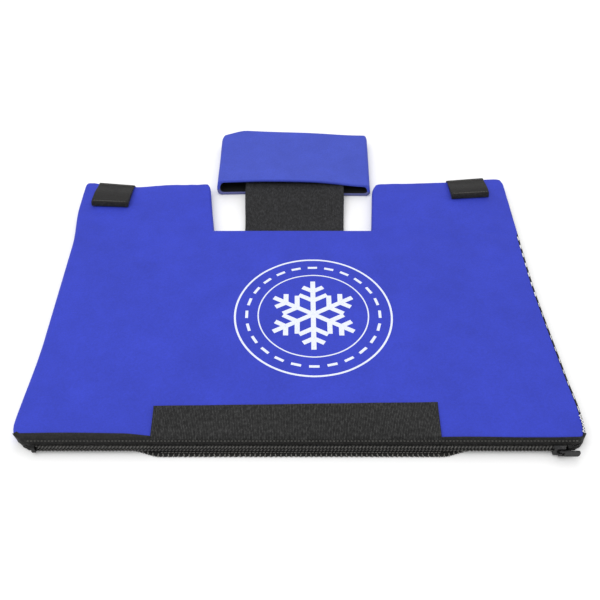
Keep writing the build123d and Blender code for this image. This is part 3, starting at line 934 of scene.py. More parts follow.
def shell_mesh():
    """Points and faces of the whole shell, with its normals, as one welded surface."""
    left_xs = lines(-HALF_WIDTH, NOTCH_LEFT, GRID_STEP, True, True)
    middle_xs = lines(NOTCH_LEFT, NOTCH_RIGHT, GRID_STEP, False, False)
    right_xs = lines(NOTCH_RIGHT, HALF_WIDTH, GRID_STEP, True, True)
    fold_low, fold_high = FOLD_Y - FOLD_LINES, FOLD_Y + FOLD_LINES
    panel_ys = np.concatenate([lines(FRONT_Y, fold_low, GRID_STEP, True, False)[:-1],
                               np.linspace(fold_low, fold_high, 11)[:-1],
                               lines(fold_high, NOTCH_Y, GRID_STEP, False, True)])
    panel_xs = np.concatenate([left_xs, middle_xs[1:], right_xs[1:]])
    patches = [panel_patch(panel_xs, panel_ys)]
    for side, xs, back in (("left", left_xs, LEFT_EAR_HIGH[1]), ("right", right_xs, RIGHT_BACK)):
        ys = np.concatenate([np.linspace(NOTCH_Y, EAR_FINE_Y, 12)[:-1],
                             lines(EAR_FINE_Y, back, GRID_STEP, False, True)])
        patches.append(ear_patch(xs, ys, side))
    parts = []
    for x, y, (top, bottom) in patches:
        parts += [layer(x, y, top), layer(x, y, bottom, under=True)]
    points, faces = many(parts)
    _, first, welded = np.unique(np.round(points, 3), axis=0, return_index=True, return_inverse=True)
    welded = welded.ravel()
    points = points[first]
    faces = [[int(welded[index]) for index in face] for face in faces]
    faces = np.array([face for face in faces if len(set(face)) == 4])
    across = points[faces[:, 2]] - points[faces[:, 0]]
    along = points[faces[:, 3]] - points[faces[:, 1]]
    face_normals = np.cross(across, along)
    normals = np.zeros_like(points)
    for corner in range(4):
        np.add.at(normals, faces[:, corner], face_normals)
    normals /= np.maximum(np.linalg.norm(normals, axis=1), 1e-12)[:, None]
    return points, faces, normals


def shell_materials(middle):
    """Material of each face: black foam on the cut right edge and the front edge, blue elsewhere."""
    rough = 0.9 * np.sin(middle[:, 1] / 2.3) + 0.7 * np.sin(middle[:, 1] / 5.9 + 1)
    show = CUT_SHOW + (CUT_SHOW_EAR - CUT_SHOW) * ramp(middle[:, 1], *CUT_SHOW_CHANGE_AT)
    right = HALF_WIDTH - middle[:, 0] < show + 0.25 * rough
    below_corner = middle[:, 1] < RIGHT_BACK - EAR_CORNER["right"]
    front = middle[:, 1] - FRONT_Y < FRONT_SHOW
    return np.where((right & below_corner) | front, 1, 0)


def shell():
    """The four sections of the shell, cut from one surface so that their edges meet."""
    points, faces, normals = shell_mesh()
    middle = points[faces].mean(axis=1)
    points = wander(points)
    fold = middle[:, 1] < FOLD_Y + FOLD_LINES
    ear = middle[:, 1] > NOTCH_Y
    groups = {
        "front": fold,
        "middle": ~fold & ~ear,
        "left_ear": ear & (middle[:, 0] < 0),
        "right_ear": ear & (middle[:, 0] > 0),
    }
    made = {}
    for section, mask in groups.items():
        used, renumbered = np.unique(faces[mask], return_inverse=True)
        piece = mesh(f"shell_{section}", points[used], renumbered.reshape(-1, 4), [NEOPRENE, FOAM],
                     shell_materials(middle[mask]))
        piece.data.normals_split_custom_set_from_vertices(normals[used].tolist())
        outfit(piece, "blue_neoprene", stands_for=(f"outer_layer_{section}", f"skin_layer_{section}"))
        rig.padded(piece, fill=0.2)
        made[section] = piece
    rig.ride(made["middle"], "root")
    bend_front(made["front"])
    bend_ear(made["left_ear"], "left_ear")
    bend_ear(made["right_ear"], "right_ear")


def bend_front(piece):
    """Lets a piece follow the front fold."""
    high, low = (FOLD_Y + FRONT_BEND) * MM, (FOLD_Y - FRONT_BEND) * MM
    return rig.blend(piece, "root", "front_section", start=(0, high, 0), end=(0, low, 0))


def bend_ear(piece, ear):
    """Lets a piece follow an ear's fold."""
    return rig.blend(piece, "root", ear, start=(0, NOTCH_Y * MM, 0), end=(0, EAR_FINE_Y * MM, 0))


# ---------------------------------------------------------------- white overlock stitches

def side_loop(y):
    """Thread that runs down the cut right edge, from just under the top face to the skin side."""
    lean = random.uniform(0.6, 2.6)
    x = HALF_WIDTH
    line = [(x - 1.0, y - 0.4 * lean, TOP - 2.2), (x - 0.3, y, TOP - 3.2), (x, y + 0.5 * lean, MID),
            (x - 0.3, y + lean, 3.0), (x - 1.4, y + 1.3 * lean, 0.5)]
    return tube(line, THREAD_RADIUS, 5)


def top_dash(y, length, radius):
    """A stitch that lies along the edge of the top face."""
    x = HALF_WIDTH - TOP_STITCH_INSET
    z = TOP - 0.3
    line = [(x + 0.3, y - length / 2, z - radius - 0.3), (x, y - length / 3, z),
            (x, y + length / 3, z), (x + 0.3, y + length / 2, z - radius - 0.3)]
    return tube(line, radius, 6)


def loose_loops(y_low, y_high):
    """One thick thread that zigzags over the front end of the edge."""
    line = []
    y = y_low
    while y < y_high:
        inward = len(line) % 2
        inset = LOOSE_INSETS[inward] + random.uniform(-0.4, 0.4)
        line.append((HALF_WIDTH - inset, y, TOP if inward else TOP - 0.6))
        y += random.uniform(*LOOSE_STEP)
    return tube(line, LOOSE_RADIUS, 6)


def right_section(y):
    """The shell section whose right edge is at some y."""
    if y < FOLD_Y + FOLD_LINES:
        return "front"
    return "middle" if y < NOTCH_Y else "right_ear"


def overlock():
    """The white thread along the right edge, one piece for each section."""
    front_end = FRONT_Y + FRONT_CORNER
    back_end = RIGHT_BACK + RIGHT_EAR_SLOPE - 2 * EAR_CORNER["right"]
    parts = {"front": [loose_loops(front_end - 2, front_end + LOOSE_REACH)], "middle": [], "right_ear": []}
    y = front_end + 1
    while y < back_end:
        parts[right_section(y)].append(side_loop(y))
        y += random.uniform(*STITCH_PITCH)
    y = NOTCH_Y - TOP_STITCH_PITCH
    while y > front_end + LOOSE_REACH:
        radius = DASH_RADIUS if y > TOP_STITCH_BOLD else FAINT_DASH_RADIUS
        parts[right_section(y)].append(top_dash(y, random.uniform(*TOP_STITCH_LENGTH), radius))
        y -= TOP_STITCH_PITCH + random.uniform(-1, 1)
    for section, loops in parts.items():
        points, faces = many(loops)
        piece = mesh(f"overlock_stitches_{section}", wander(points), faces, [WHITE_THREAD])
        outfit(piece, "white_thread", stands_for=[f"overlock_thread_{section}"])
        if section == "front":
            bend_front(piece)
        elif section == "middle":
            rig.ride(piece, "root")
        else:
            bend_ear(piece, "right_ear")


# ---------------------------------------------------------------- print

def printed_mark():
    """The print, cut finer than its CAD sheet and laid on the uneven fabric."""
    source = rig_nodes["printed_mark"]
    piece = source.copy()
    piece.data = source.data.copy()
    piece.name = "print_on_fabric"
    piece.parent = None
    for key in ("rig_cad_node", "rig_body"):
        del piece[key]
    bpy.context.scene.collection.objects.link(piece)
    cuts = bmesh.new()
    cuts.from_mesh(piece.data)
    for axis, direction in ((0, (1, 0, 0)), (1, (0, 1, 0))):
        for place in np.arange(PRINT_LOW[axis] + PRINT_CELL, PRINT_HIGH[axis], PRINT_CELL):
            point = [0, 0, 0]
            point[axis] = place * MM
            everything = cuts.verts[:] + cuts.edges[:] + cuts.faces[:]
            bmesh.ops.bisect_plane(cuts, geom=everything, plane_co=point, plane_no=direction)
    for vertex in cuts.verts:
        x, y, z = vertex.co / MM
        ground, _ = surface(np.array([x]), np.array([y]), [])
        vertex.co.z = (ground[0] + z - PRINT_LOW[2]) * MM
    cuts.to_mesh(piece.data)
    cuts.free()
    piece.data.materials.clear()
    piece.data.materials.append(PRINT)
    outfit(piece, "white_print", "root", ["printed_mark"])


# ---------------------------------------------------------------- strap

def strap_piece(name, y_low, y_high, rows):
    """A length of flat elastic with ribs along it and slightly thicker, rolled edges."""
    middle_x, half = (STRAP_LOW[0] + STRAP_HIGH[0]) / 2, (STRAP_HIGH[0] - STRAP_LOW[0]) / 2
    rim = np.array([0, 0.15, 0.5, 1.1])
    across = np.concatenate([rim, np.arange(rim[-1], 2 * half - rim[-1], 0.6)[1:], 2 * half - rim[::-1]])
    x = middle_x - half + across
    ends = np.minimum(across, 2 * half - across)
    thick = (STRAP_HIGH[2] - STRAP_LOW[2]) / 2 * profile(ends, 0.9, 2)
    rib = 0.05 * np.cos(2 * np.pi * across / STRAP_RIB)
    ys = np.linspace(y_low, y_high, rows)
    grid_x, grid_y = np.meshgrid(x, ys)
    sag = 0.25 * np.sin(grid_x / 19 + 1) * np.sin(grid_y / 15)
    sag = sag + STRAP_RISE * ramp(grid_y, STRAP_RISE_START, POCKET_LOW[1])
    flare = STRAP_FLARE * ramp(grid_y, NOTCH_Y, NOTCH_Y + STRAP_FLARE_REACH)
    grid_x = middle_x + (grid_x - middle_x) * (1 + flare)
    top = STRAP_MID_Z + thick + rib * (thick > 0) + sag
    bottom = STRAP_MID_Z - thick + sag
    sides = [layer(grid_x, grid_y, top), layer(grid_x, grid_y, bottom, under=True)]
    return mesh(name, *many(sides), [STRAP])


def strap():
    """The elastic from between the two layers to its end inside the pocket."""
    hinge_y = joint("strap_fold")["pos"][1]
    mouth = joint("pocket_fold")["pos"][1]
    split = box("strap_elastic_outer")[0][1] - STRAP_SPLIT_BACK
    turn = mouth - STRAP_TURN_FRONT
    end = box("strap_sewn_end")[1][1]
    inner = strap_piece("strap_inner_length", NOTCH_Y - STRAP_HIDDEN, split, 28)
    outer = strap_piece("strap_outer_length", split, turn, 20)
    last = strap_piece("strap_pocket_length", turn, end, 28)
    outfit(inner, "black_elastic", stands_for=("strap_elastic", "strap_sewn_root"))
    outfit(outer, "black_elastic", stands_for=["strap_elastic_outer"])
    outfit(last, "black_elastic", stands_for=["strap_sewn_end"])
    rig.blend(inner, "root", "strap_inner", start=(0, (hinge_y - STRAP_FOLD_FRONT) * MM, 0),
             end=(0, (hinge_y + STRAP_FOLD_BACK) * MM, 0))
    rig.blend(outer, "strap_inner", "strap_outer", start=(0, split * MM, 0), end=(0, (turn - 1) * MM, 0))
    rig.blend(last, "strap_outer", "pocket", start=(0, turn * MM, 0),
             end=(0, (mouth + STRAP_TURN_BACK) * MM, 0))


# ---------------------------------------------------------------- pocket

def pocket_heights(x, y, depth):
    """Heights of the pocket's outer top face: arched left of the middle and sagging to the right."""
    share = (x - POCKET_LOW[0]) / (POCKET_HIGH[0] - POCKET_LOW[0])
    mouth = POCKET_LIP + POCKET_ARCH * np.sin(np.pi * share) - POCKET_SAG * ramp(share, 0.6, 1)
    far = POCKET_FAR_HEIGHT + 0.5 * np.sin(x / 17 + 0.6) * np.sin(y / 21)
    mix = smooth(depth / POCKET_SETTLE)
    return mouth * (1 - mix) + far * mix


def near_mouth(depth):
    """1 at the pocket's mouth, easing to 0 further in."""
    return smooth(1 - depth / POCKET_MOUTH_REACH)


def pocket_sheet(inset):
    """Grid of the pocket's outline, drawn in by inset; returns x, y, rim fullness and depth."""
    x_low, x_high = POCKET_LOW[0] - POCKET_SIDE_EXTRA + inset, POCKET_HIGH[0] - inset
    y_low, y_high = POCKET_LOW[1], POCKET_HIGH[1] + POCKET_FAR_EXTRA - inset
    xs = lines(x_low, x_high, POCKET_STEP, True, True)
    ys = lines(y_low, y_high, POCKET_STEP, False, True)
    x, y = np.meshgrid(xs, ys)
    left, right, far = x - x_low, x_high - x, y_high - y
    fullness = np.ones_like(x)
    for distance in (left, right, far):
        fullness = fullness * profile(distance, POCKET_ROUND, 2.1)
    depth = y - y_low
    left, far = round_corner(left, far, POCKET_CORNER["left"])
    right, far = round_corner(right, far, POCKET_CORNER["right"])
    x = np.where(x < (x_low + x_high) / 2, x_low + left, x_high - right)
    share = (x - x_low) / (x_high - x_low)
    back = -POCKET_FAR_RIGHT * ramp(share, 0.1, 1) - POCKET_FAR_LEFT * ramp(share, 0.17, 0)
    y = y_high - far + back * depth / (y_high - y_low)
    x = x + (POCKET_TAPER * (0.5 - share) + POCKET_RIGHT_EXTRA * share) * depth / (y_high - y_low)
    mouth_wave = POCKET_MOUTH_WAVE * np.sin(4.2 * share + 0.4) * near_mouth(depth)
    return x, y + mouth_wave, fullness, depth


def pocket():
    """The pocket: a flattened sleeve with a thick lip, blue outside and black inside."""
    x, y, fullness, depth = pocket_sheet(0)
    top = pocket_heights(x, y, depth)
    seam = top * POCKET_SEAM_SHARE
    outer_top = seam + (top - seam) * fullness
    outer_low = seam * (1 - fullness)
    in_x, in_y, in_full, in_depth = pocket_sheet(POCKET_WALL)
    floor = np.full_like(in_x, POCKET_WALL)
    ceiling = np.maximum(pocket_heights(in_x, in_y, in_depth) - POCKET_WALL, floor + POCKET_GAP)
    middle = (ceiling + floor) / 2
    drawn_back = POCKET_DRAWN_BACK * near_mouth(depth) * fullness
    in_drawn_back = POCKET_DRAWN_BACK * near_mouth(in_depth) * in_full
    parts = [layer(x, y + drawn_back, outer_top), layer(x, y, outer_low, under=True),
             layer(in_x, in_y + in_drawn_back, middle + (ceiling - middle) * in_full, under=True),
             layer(in_x, in_y, middle - (middle - floor) * in_full)]
    materials = [0] * (2 * len(parts[0][1])) + [1] * (2 * len(parts[2][1]))
    for outside, inside, under in ((0, 2, False), (1, 3, True)):
        parts.append(lip(parts[outside][0][:x.shape[1]], parts[inside][0][:in_x.shape[1]], under))
        materials += [2 if under else 0] * len(parts[-1][1])
    piece = mesh("pocket_sleeve", *many(parts), [POCKET_CLOTH_LIT, LINING, LIP], materials)
    outfit(piece, "blue_neoprene", "pocket", ("pocket_upper", "pocket_lower"))
    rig.padded(piece, fill=0.2)


def lip(outside, inside, under):
    """A rounded strip that joins the outer and inner edges at the mouth."""
    share = np.linspace(0, 1, len(outside))
    inside = np.array([np.interp(share, np.linspace(0, 1, len(inside)), inside[:, axis])
                       for axis in range(3)]).T
    rows = []
    for t in np.linspace(0, 1, LIP_ROWS):
        bulge = np.sqrt(np.clip(1 - (2 * t - 1) ** 2, 0, 1)) * LIP_BULGE
        row = outside + (inside - outside) * t
        row[:, 1] -= bulge
        rows.append(row)
    return np.array(rows).reshape(-1, 3), grid_faces(LIP_ROWS, len(outside), flip=not under)


# ---------------------------------------------------------------- closing tabs

def tab_section(depth, back, low, high):
    """Outline of a tab from the side: thin at the back, and a thick folded nose behind a groove."""
    nose = [(2.4, high), (1.5, high - 0.35), (0.9, high - 1.2), (0.5, high - 2.6), (0.2, low + 0.6),
            (0.1, low - 0.5), (0.6, low - 1.0), (1.8, low - 0.9)]
    groove = [(4.4, high), (3.7, high - 0.35), (3.0, high)]
    top = [(-back, high - TAB_WEDGE - 0.2), (-back - 0.9, high - TAB_WEDGE),
           (-back - 1.9, high - 0.96 * TAB_WEDGE)]
    top += [(y, high - TAB_WEDGE * (1 - float(smooth((-y - back) / 23))))
            for y in np.linspace(-back - 3, -depth + 5.4, 12)]
    front = [(y - depth, z) for y, z in groove + nose]
    bottom = [(y, low) for y in np.linspace(-depth + 3, -back - 1.2, 8)]
    return top + front + bottom + [(-back, low), (-back + 0.2, low + 0.1)]


def tab(side):
    """A closing tab of folded webbing, its hook tape and the web it hinges on."""
    hinge = joint(f"{side}_tab_flip")
    x0, y0, _ = hinge["pos"]
    cos, sin = -hinge["axis"][0], -hinge["axis"][1]
    low, high = box(f"{side}_tab_tape", f"{side}_tab_hook_patch")
    size_x, size_y = high[0] - low[0], high[1] - low[1]
    spread = cos * cos - sin * sin
    width = (size_x * cos - size_y * abs(sin)) / spread + TAB_WIDEN[side]
    depth = (size_y * cos - size_x * abs(sin)) / spread + TAB_STRETCH[side]
    hook_top = box(f"{side}_tab_hook_patch")[1][2]

    def place(points):
        """Turns points along the tab into the frame, leaning and skewed as its free end lies."""
        u, v, z = np.array(points, float).T
        out = -v / depth
        v = v + TAB_SKEW[side] * out * u / width
        u = u + TAB_LEAN[side] * out
        return np.column_stack([x0 + u * cos - v * sin, y0 + u * sin + v * cos, z])

    tab_webbing(side, place, width, tab_section(depth, TAB_BACK[side], hook_top, high[2]))
    tab_stitches(side, place, width, depth, high[2])
    hook_patch(side, place, width, depth)
    hinge_web(side, place, width, hook_top)


def tab_webbing(side, place, width, section):
    """The folded webbing of a tab, drawn in at its two sides and slightly sagging between them."""
    section = np.array(section)
    centre = section.mean(axis=0)
    rim = np.array([0, 0.25, 0.8])
    across = np.concatenate([rim, np.linspace(1.6, width - 1.6, 16), width - rim[::-1]]) - width / 2
    rows = []
    for x in across:
        drawn_in = 0.10 * (1 - profile(width / 2 - abs(x), 0.8, 2))
        ring = centre + (section - centre) * [1 - 0.25 * drawn_in, 1 - drawn_in]
        sag = TAB_CURL * (1 - (2 * x / width) ** 2)
        rows += [(x, y, z - sag * (z > centre[1])) for y, z in ring]
    piece = loft(f"{side}_tab_webbing", place(rows), len(section), TAB)
    outfit(piece, "black_tape", f"{side}_tab", [f"{side}_tab_tape"])


def tab_stitches(side, place, width, depth, high):
    """Two rows of stitches on a tab: in the groove behind its nose and along its back."""
    loops = []
    for row_y, z in ((-depth + 3.7, high - 0.3), (-TAB_BACK[side] - 2.4, high - 0.9 * TAB_WEDGE)):
        for x in np.arange(-width / 2 + 2, width / 2 - 3, TAB_STITCH_PITCH):
            loops.append(tube([(x, row_y, z - 0.45), (x + 0.5, row_y, z - 0.02),
                               (x + 1.5, row_y, z - 0.02), (x + 2, row_y, z - 0.45)], 0.2, 5))
    points, faces = many(loops)
    thread = mesh(f"{side}_tab_stitches", place(points), faces, [BLACK_THREAD_PAINTED_HIGHLIGHT])
    outfit(thread, "black_tape", f"{side}_tab")


def hook_patch(side, place, width, depth):
    """Hook tape under a tab: a flat tape with rows of small stiff hooks towards the ear."""
    low, high = box(f"{side}_tab_hook_patch")
    base, top = low[2] + HOOK_HEIGHT, high[2] + 0.05
    xs = np.linspace(-width / 2 + 0.8, width / 2 - 0.8, 6)
    ys = np.linspace(-depth + 2.0, -TAB_BACK[side] - 0.8, 6)
    x, y = np.meshgrid(xs, ys)
    parts = [layer(x, y, np.full_like(x, top)), layer(x, y, np.full_like(x, base), under=True)]
    rim = [(xs[0], ys[0]), (xs[-1], ys[0]), (xs[-1], ys[-1]), (xs[0], ys[-1])]
    parts.append(([(*corner, z) for z in (base, top) for corner in rim], grid_faces(2, 4, wrap=True)))
    for hook_y in np.arange(ys[0] + 0.8, ys[-1] - 0.5, HOOK_PITCH):
        for hook_x in np.arange(xs[0] + 0.8, xs[-1] - 0.5, HOOK_PITCH):
            foot = [(hook_x + a, hook_y + b, base + 0.1) for a, b in ((0, -0.3), (0.3, 0.3), (-0.3, 0.3))]
            tip = (hook_x + 0.25, hook_y, base - HOOK_HEIGHT + 0.1)
            parts.append((foot + [tip], [(0, 1, 3), (1, 2, 3), (2, 0, 3)]))
    points, faces = many(parts)
    patch = mesh(f"{side}_tab_hooks", place(points), faces, [HOOK], rounded=False)
    outfit(patch, "black_hook", f"{side}_tab", [f"{side}_tab_hook_patch"])


def hinge_web(side, place, width, hook_top):
    """The tape sewn over an ear's back edge, which carries the tab and bends when it flips."""
    straight_back = LEFT_EAR_HIGH[1] if side == "left" else RIGHT_BACK
    rows = []
    for u in np.linspace(-width / 2 + 0.4, width / 2 - 0.4, WEB_SECTIONS):
        x, hinge_y, _ = place([(u, 0, 0)])[0]
        shift = wander([(x, hinge_y, TOP)])[0][0] - x
        edge = straight_back + WEB_GAP + float(ear_stretch(side, x - shift))
        root = hinge_y - TAB_BACK[side]
        inside = [(edge - 1.6, 0.2), (edge - 0.2, 2.2), (edge + 0.1, MID), (edge - 0.2, TOP - 2.2),
                  (edge - 1.6, TOP - 0.2), (root + 0.3, TOP + 0.4), (root - 0.3, hook_top - 0.3),
                  (root - 1.2, hook_top + 0.05)]
        outside = [(edge - 1.6, -0.1), (edge + 0.4, 1.8), (edge + 0.8, MID), (edge + 0.4, TOP - 1.8),
                   (edge - 1.2, TOP + 0.1), (root + 0.8, TOP + 0.7), (root + 0.3, hook_top - 0.1),
                   (root - 1.0, hook_top + 0.3)]
        section = inside + outside[::-1]
        rows += [(x, y, z) for y, z in section]
    web = loft(f"{side}_tab_web", rows, len(section), TAB)
    outfit(web, "black_tape", stands_for=[f"{side}_tab_anchor"])
    x0, y0, _ = joint(f"{side}_tab_flip")["pos"]
    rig.blend(web, f"{side}_ear", f"{side}_tab", start=(x0 * MM, y0 * MM, (TOP + 0.2) * MM),
             end=(x0 * MM, y0 * MM, hook_top * MM))


# ---------------------------------------------------------------- elastic strip on the front

def strip_reach(x):
    """How far back the strip's edge is at some x, since it is a little wider at its right end."""
    share = (x - STRIP_LOW[0]) / (STRIP_HIGH[0] - STRIP_LOW[0])
    return STRIP_LEFT_BACK + (STRIP_HIGH[1] - STRIP_LEFT_BACK) * share + STRIP_EXTRA


def front_strip():
    """Ribbed elastic, sewn flat and turned down over the front edge onto the zipper tape."""
    xs = np.arange(STRIP_LOW[0], STRIP_HIGH[0] + 0.01, STRIP_RIB / 4)
    high = STRIP_HIGH[2]
    rows = []
    for x in xs:
        back = strip_reach(x)
        end = min(x - xs[0], xs[-1] - x)
        thick = (high - TOP) * profile(end, 0.7, 2)
        rib = STRIP_RIB_DEPTH * math.cos(2 * math.pi * x / STRIP_RIB) * (end > 0.5)
        wave = 0.25 * math.sin(x / 21) + 0.2 * math.sin(x / 9.0 + 1)
        line = [(back + 0.1, TOP - 0.5), (back + 0.1, TOP + 0.45 * thick),
                (back - 0.25, TOP + 0.8 * thick), (back - 0.9, TOP + thick)]
        line += [(y, TOP + thick) for y in np.linspace(back - 3, FRONT_Y + 1.6, 7)]
        line += [(FRONT_Y + 0.2, TOP + thick - 0.35), (FRONT_Y - 0.9, TOP + thick - 1.3),
                 (FRONT_Y - 1.7, TOP + thick - 2.6), (FRONT_Y - 2.0, TOP + thick - 3.4)]
        lean = STRIP_LEAN * (2 * (x - xs[0]) / (xs[-1] - xs[0]) - 1)
        rows += [(x + lean * (1 - down), y + wave * (1 - down) * 0.4, z + rib * (0.2 < down))
                 for (y, z), down in zip(line, np.linspace(0, 1, len(line)))]
    piece = mesh("front_strip_elastic", rows, grid_faces(len(xs), len(line)), [STRIP])
    outfit(piece, "black_elastic", "front_section", ["front_elastic_strip"])


# ---------------------------------------------------------------- zipper

def band(name, line_of, x_places, nodes=()):
    """A tape lofted along the front edge; line_of gives its section at some x as (reach, height)."""
    rows = []
    for x in x_places:
        inset = max(abs(x) - (HALF_WIDTH - FRONT_CORNER), 0)
        turn = min(inset / FRONT_CORNER, 1.0) * CORNER_WRAP
        along = math.copysign(HALF_WIDTH - FRONT_CORNER + FRONT_CORNER * math.sin(turn), x) if inset else x
        back = FRONT_Y + FRONT_CORNER * (1 - math.cos(turn))
        away = math.copysign(math.sin(turn), x)
        fade = 1 - 0.75 * min(inset / FRONT_CORNER, 1.0)
        for reach, z in line_of(x):
            reach = reach * fade if reach > 0 else reach
            rows.append((along + reach * away, back - reach * math.cos(turn), z))
    piece = mesh(name, wander(rows), grid_faces(len(x_places), len(line_of(0.0))), [ZIP_TAPE])
    outfit(piece, "zipper_tape", "front_section", nodes)


def upper_line(x):
    """Section of the upper tape, from the panel's edge down to the upper coil."""
    reach = ZIP_REACH * (0.2 + 0.8 * smooth((HALF_WIDTH - abs(x)) / 14))
    low = COIL_UPPER_LOW[2] + 0.5
    drop = TOP - 0.25 - low
    left = float(ramp(x, *TAPE_OVERLAP_CHANGE_AT))
    over = TAPE_OVERLAP + (TAPE_OVERLAP_LEFT - TAPE_OVERLAP) * left + 0.35 * math.sin(x / 17)
    return [(-over, TOP - 0.3), (-over + 0.2, TOP + 0.25), (0.5, TOP + 0.1), (1.1, TOP - 0.5),
            (0.45 * reach + 0.8, TOP - 0.45 * drop), (0.8 * reach + 0.6, low + 0.25 * drop),
            (reach, low + 0.05), (reach - 0.5, low - 0.5), (0.7 * reach, low - 0.2)]


def backing_line(_):
    """Section of the dark tape behind the coils, the same at every x; it also closes the band's ends."""
    return [(-0.8, TOP - 0.8), (BACKING_REACH * 0.7, TOP - 2), (BACKING_REACH, MID + 2),
            (BACKING_REACH, MID - 2), (BACKING_REACH * 0.7, 2), (-0.8, 0.4)]


def hem_reach(x):
    """How far forward the lower tape's hem stands: furthest in the middle."""
    out = abs(x)
    side = HEM_SIDE + HEM_SIDE_WAVE * math.sin((out - HEM_RAMP_END) / 26)
    mix = float(ramp(out, HEM_RAMP_END, HEM_RAMP_START))
    return side + (HEM_MIDDLE - side) * mix


def lower_line(x):
    """Section of the lower tape: behind the lower coil, under it and out to the hem."""
    reach = hem_reach(x) * float(0.45 + 0.55 * smooth((HALF_WIDTH - abs(x)) / 12))
    scallop = 0.35 * math.cos(2 * math.pi * x / HEM_PITCH)
    lift = HEM_LIFT * float(smooth((abs(x) - HEM_RAMP_END + 10) / 22)
                            * smooth((HALF_WIDTH - 26 - abs(x)) / 40))
    edge = reach + scallop
    back = min(ZIP_REACH - 0.4, 0.7 * reach)
    return [(back, COIL_LOWER_LOW[2] + 2.0), (back + 0.2, 2.4 + lift), (back + 0.8, 1.75 + lift),
            (max(edge - 2.4, back + 1.0), 1.6 + lift), (edge - 0.8, 1.75 + lift),
            (edge, 1.2 + lift), (edge - 0.2, 0.5 + lift), (edge - 1.2, 0.2 + lift), (0.5, 0.2)]


def coil(name, low, high):
    """One coil: a helix of nylon round a core cord."""
    y, z = (low[1] + high[1]) / 2, (low[2] + high[2]) / 2
    radius = (high[2] - low[2]) / 2
    wire = 0.46 * radius
    turns = (high[0] - low[0] - 2) / COIL_PITCH
    steps = int(turns * 9)
    angle = np.linspace(0, 2 * math.pi * turns, steps)
    x = low[0] + 1 + COIL_PITCH * angle / (2 * math.pi)
    line = np.column_stack([x, y + (radius - wire) * np.sin(angle), z + (radius - wire) * np.cos(angle)])
    core = [(value, y, z) for value in np.linspace(low[0], high[0], 40)]
    helix, cord = tube(line, wire, 5), tube(core, 0.6 * radius, 6)
    points, faces = many([helix, cord])
    paints = [0] * len(helix[1]) + [1] * len(cord[1])
    piece = mesh(f"{name}_turns", points, faces, [COIL, CORD], paints)
    outfit(piece, "zipper_coil", "front_section", [name])


def row_of_stitches(name, reach_at, z, length, x_limit):
    """A row of machine stitches along the zipper band; reach_at gives how far forward it lies."""
    loops = []
    for x in np.arange(-x_limit, x_limit, STITCH_STEP):
        y = FRONT_Y - reach_at(x)
        loops.append(tube([(x, y + 0.4, z - 0.3), (x + 0.25 * length, y - 0.12, z + 0.1),
                           (x + 0.75 * length, y - 0.12, z + 0.1), (x + length, y + 0.4, z - 0.3)],
                          STITCH_RADIUS, 5))
    outfit(mesh(name, *many(loops), [BLACK_THREAD_PAINTED_HIGHLIGHT]), "zipper_tape", "front_section")


def hem_overlock():
    """Loops of black thread over the hem's front edge."""
    loops = []
    x = -HEM_RAMP_END
    while x < HEM_RAMP_END:
        edge = hem_reach(x)
        lean = random.uniform(-0.5, 0.5)
        y = FRONT_Y - edge
        loops.append(tube([(x - lean, y + 1.9, 1.75), (x, y + 0.5, 2.0), (x + 0.2, y - 0.35, 1.3),
                           (x + 0.2 + lean, y - 0.1, 0.6), (x, y + 1.0, 0.5)], 0.45, 5))
        x += HEM_PITCH * random.uniform(0.9, 1.1)
    outfit(mesh("hem_overlock_thread", *many(loops), [BLACK_THREAD_PAINTED_HIGHLIGHT]), "zipper_tape", "front_section")


def zipper():
    """Both tapes, their coils, stitches and hem."""
    flat = np.linspace(-(HALF_WIDTH - FRONT_CORNER), HALF_WIDTH - FRONT_CORNER, 440)
    ends = np.linspace(HALF_WIDTH - FRONT_CORNER, HALF_WIDTH, 8)[1:]
    places = np.concatenate([-ends[::-1], flat, ends])
    band("zipper_upper_tape", upper_line, places, ["zipper_tape_upper"])
    band("zipper_lower_tape", lower_line, places, ["zipper_tape_lower"])
    band("zipper_backing", backing_line, places)
    coil("zipper_coil_upper", COIL_UPPER_LOW, COIL_UPPER_HIGH)
    coil("zipper_coil_lower", COIL_LOWER_LOW, COIL_LOWER_HIGH)
    row_of_stitches("upper_tape_stitches", lambda x: 2.1, 10.3, 2.0, HALF_WIDTH - 10)
    row_of_stitches("lower_tape_stitches", lambda x: hem_reach(x) - 3.2, 1.85, 1.9, HEM_RAMP_START)
    hem_overlock()


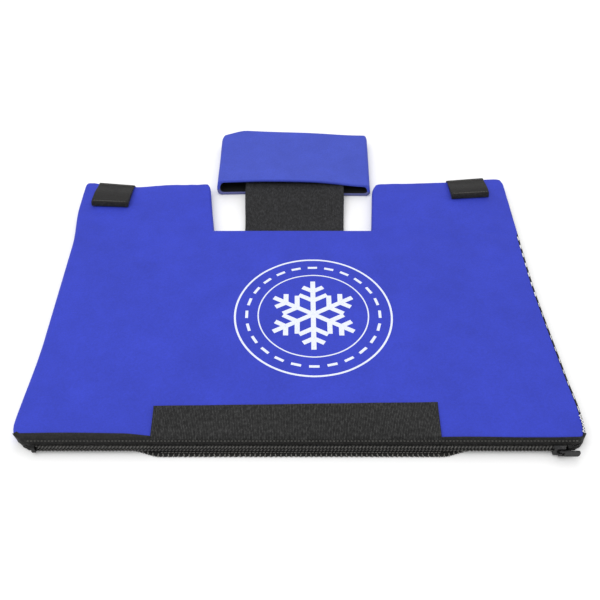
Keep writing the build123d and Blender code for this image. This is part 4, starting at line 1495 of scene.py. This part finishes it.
def repaint():
    """Gives the CAD pieces that stay in view their materials, and softens their edges."""
    paints = {
        "zipper_slider": (ENAMEL, 0.25),
        "zipper_pull": (ENAMEL, 0.3),
        "zipper_stop_left": (STOP, 0.5),
        "zipper_stop_right": (STOP, 0.5),
        "ice_insert_sheet": (FILM, 0.2),
        "ice_insert_cells": (COOLANT, 0.9),
    }
    for node, (material, softness) in paints.items():
        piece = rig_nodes[node]
        piece.data.materials.clear()
        piece.data.materials.append(material)
        bevel = piece.modifiers.new("soft_edges", "BEVEL")
        bevel.width = softness * MM
        bevel.segments = 3
        bevel.limit_method = "ANGLE"


# ---------------------------------------------------------------- studio

def studio():
    """White floor, soft light from all round and above, and the camera."""
    bpy.ops.mesh.primitive_plane_add(size=12)
    floor = bpy.context.object
    floor.name = "floor"
    paint = Paint("white_floor", rest=False)
    floor.data.materials.append(paint.set(Base_Color=(0.86, 0.86, 0.86, 1), Roughness=0.9,
                                          Specular_IOR_Level=0.0))
    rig.stage(floor)
    world = bpy.data.worlds.new("studio_world")
    bpy.context.scene.world = world
    world.use_nodes = True
    background = world.node_tree.nodes["Background"]
    background.inputs["Color"].default_value = (1, 1, 1, 1)
    background.inputs["Strength"].default_value = WORLD_STRENGTH
    for name, place, size, power in LIGHTS:
        light = bpy.data.lights.new(name, "AREA")
        light.shape = "DISK"
        light.size = size
        light.energy = power
        lamp = bpy.data.objects.new(name, light)
        lamp.location = place
        lamp.rotation_euler = (-mathutils.Vector(place)).to_track_quat("-Z", "Y").to_euler()
        bpy.context.scene.collection.objects.link(lamp)
    lens = bpy.data.cameras.new("camera")
    lens.sensor_width = 36.0
    lens.lens = CAMERA_LENS
    lens.shift_x = CAMERA_SHIFT
    lens.clip_start = 0.01
    camera = bpy.data.objects.new("camera", lens)
    camera.location = [value * MM for value in CAMERA_PLACE]
    camera.rotation_euler = (math.radians(90 - CAMERA_DOWN), 0, 0)
    bpy.context.scene.collection.objects.link(camera)
    bpy.context.scene.camera = camera
    bpy.context.scene.view_settings.view_transform = "Standard"


shell()
overlock()
printed_mark()
strap()
pocket()
for side in ("left", "right"):
    tab(side)
front_strip()
zipper()
repaint()
studio()

visual_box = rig.bounds()
with open("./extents.json", "w") as out:
    json.dump({"cad": [list(corner) for corner in CAD_BOX],
               "visual": [list(corner) for corner in visual_box]}, out)
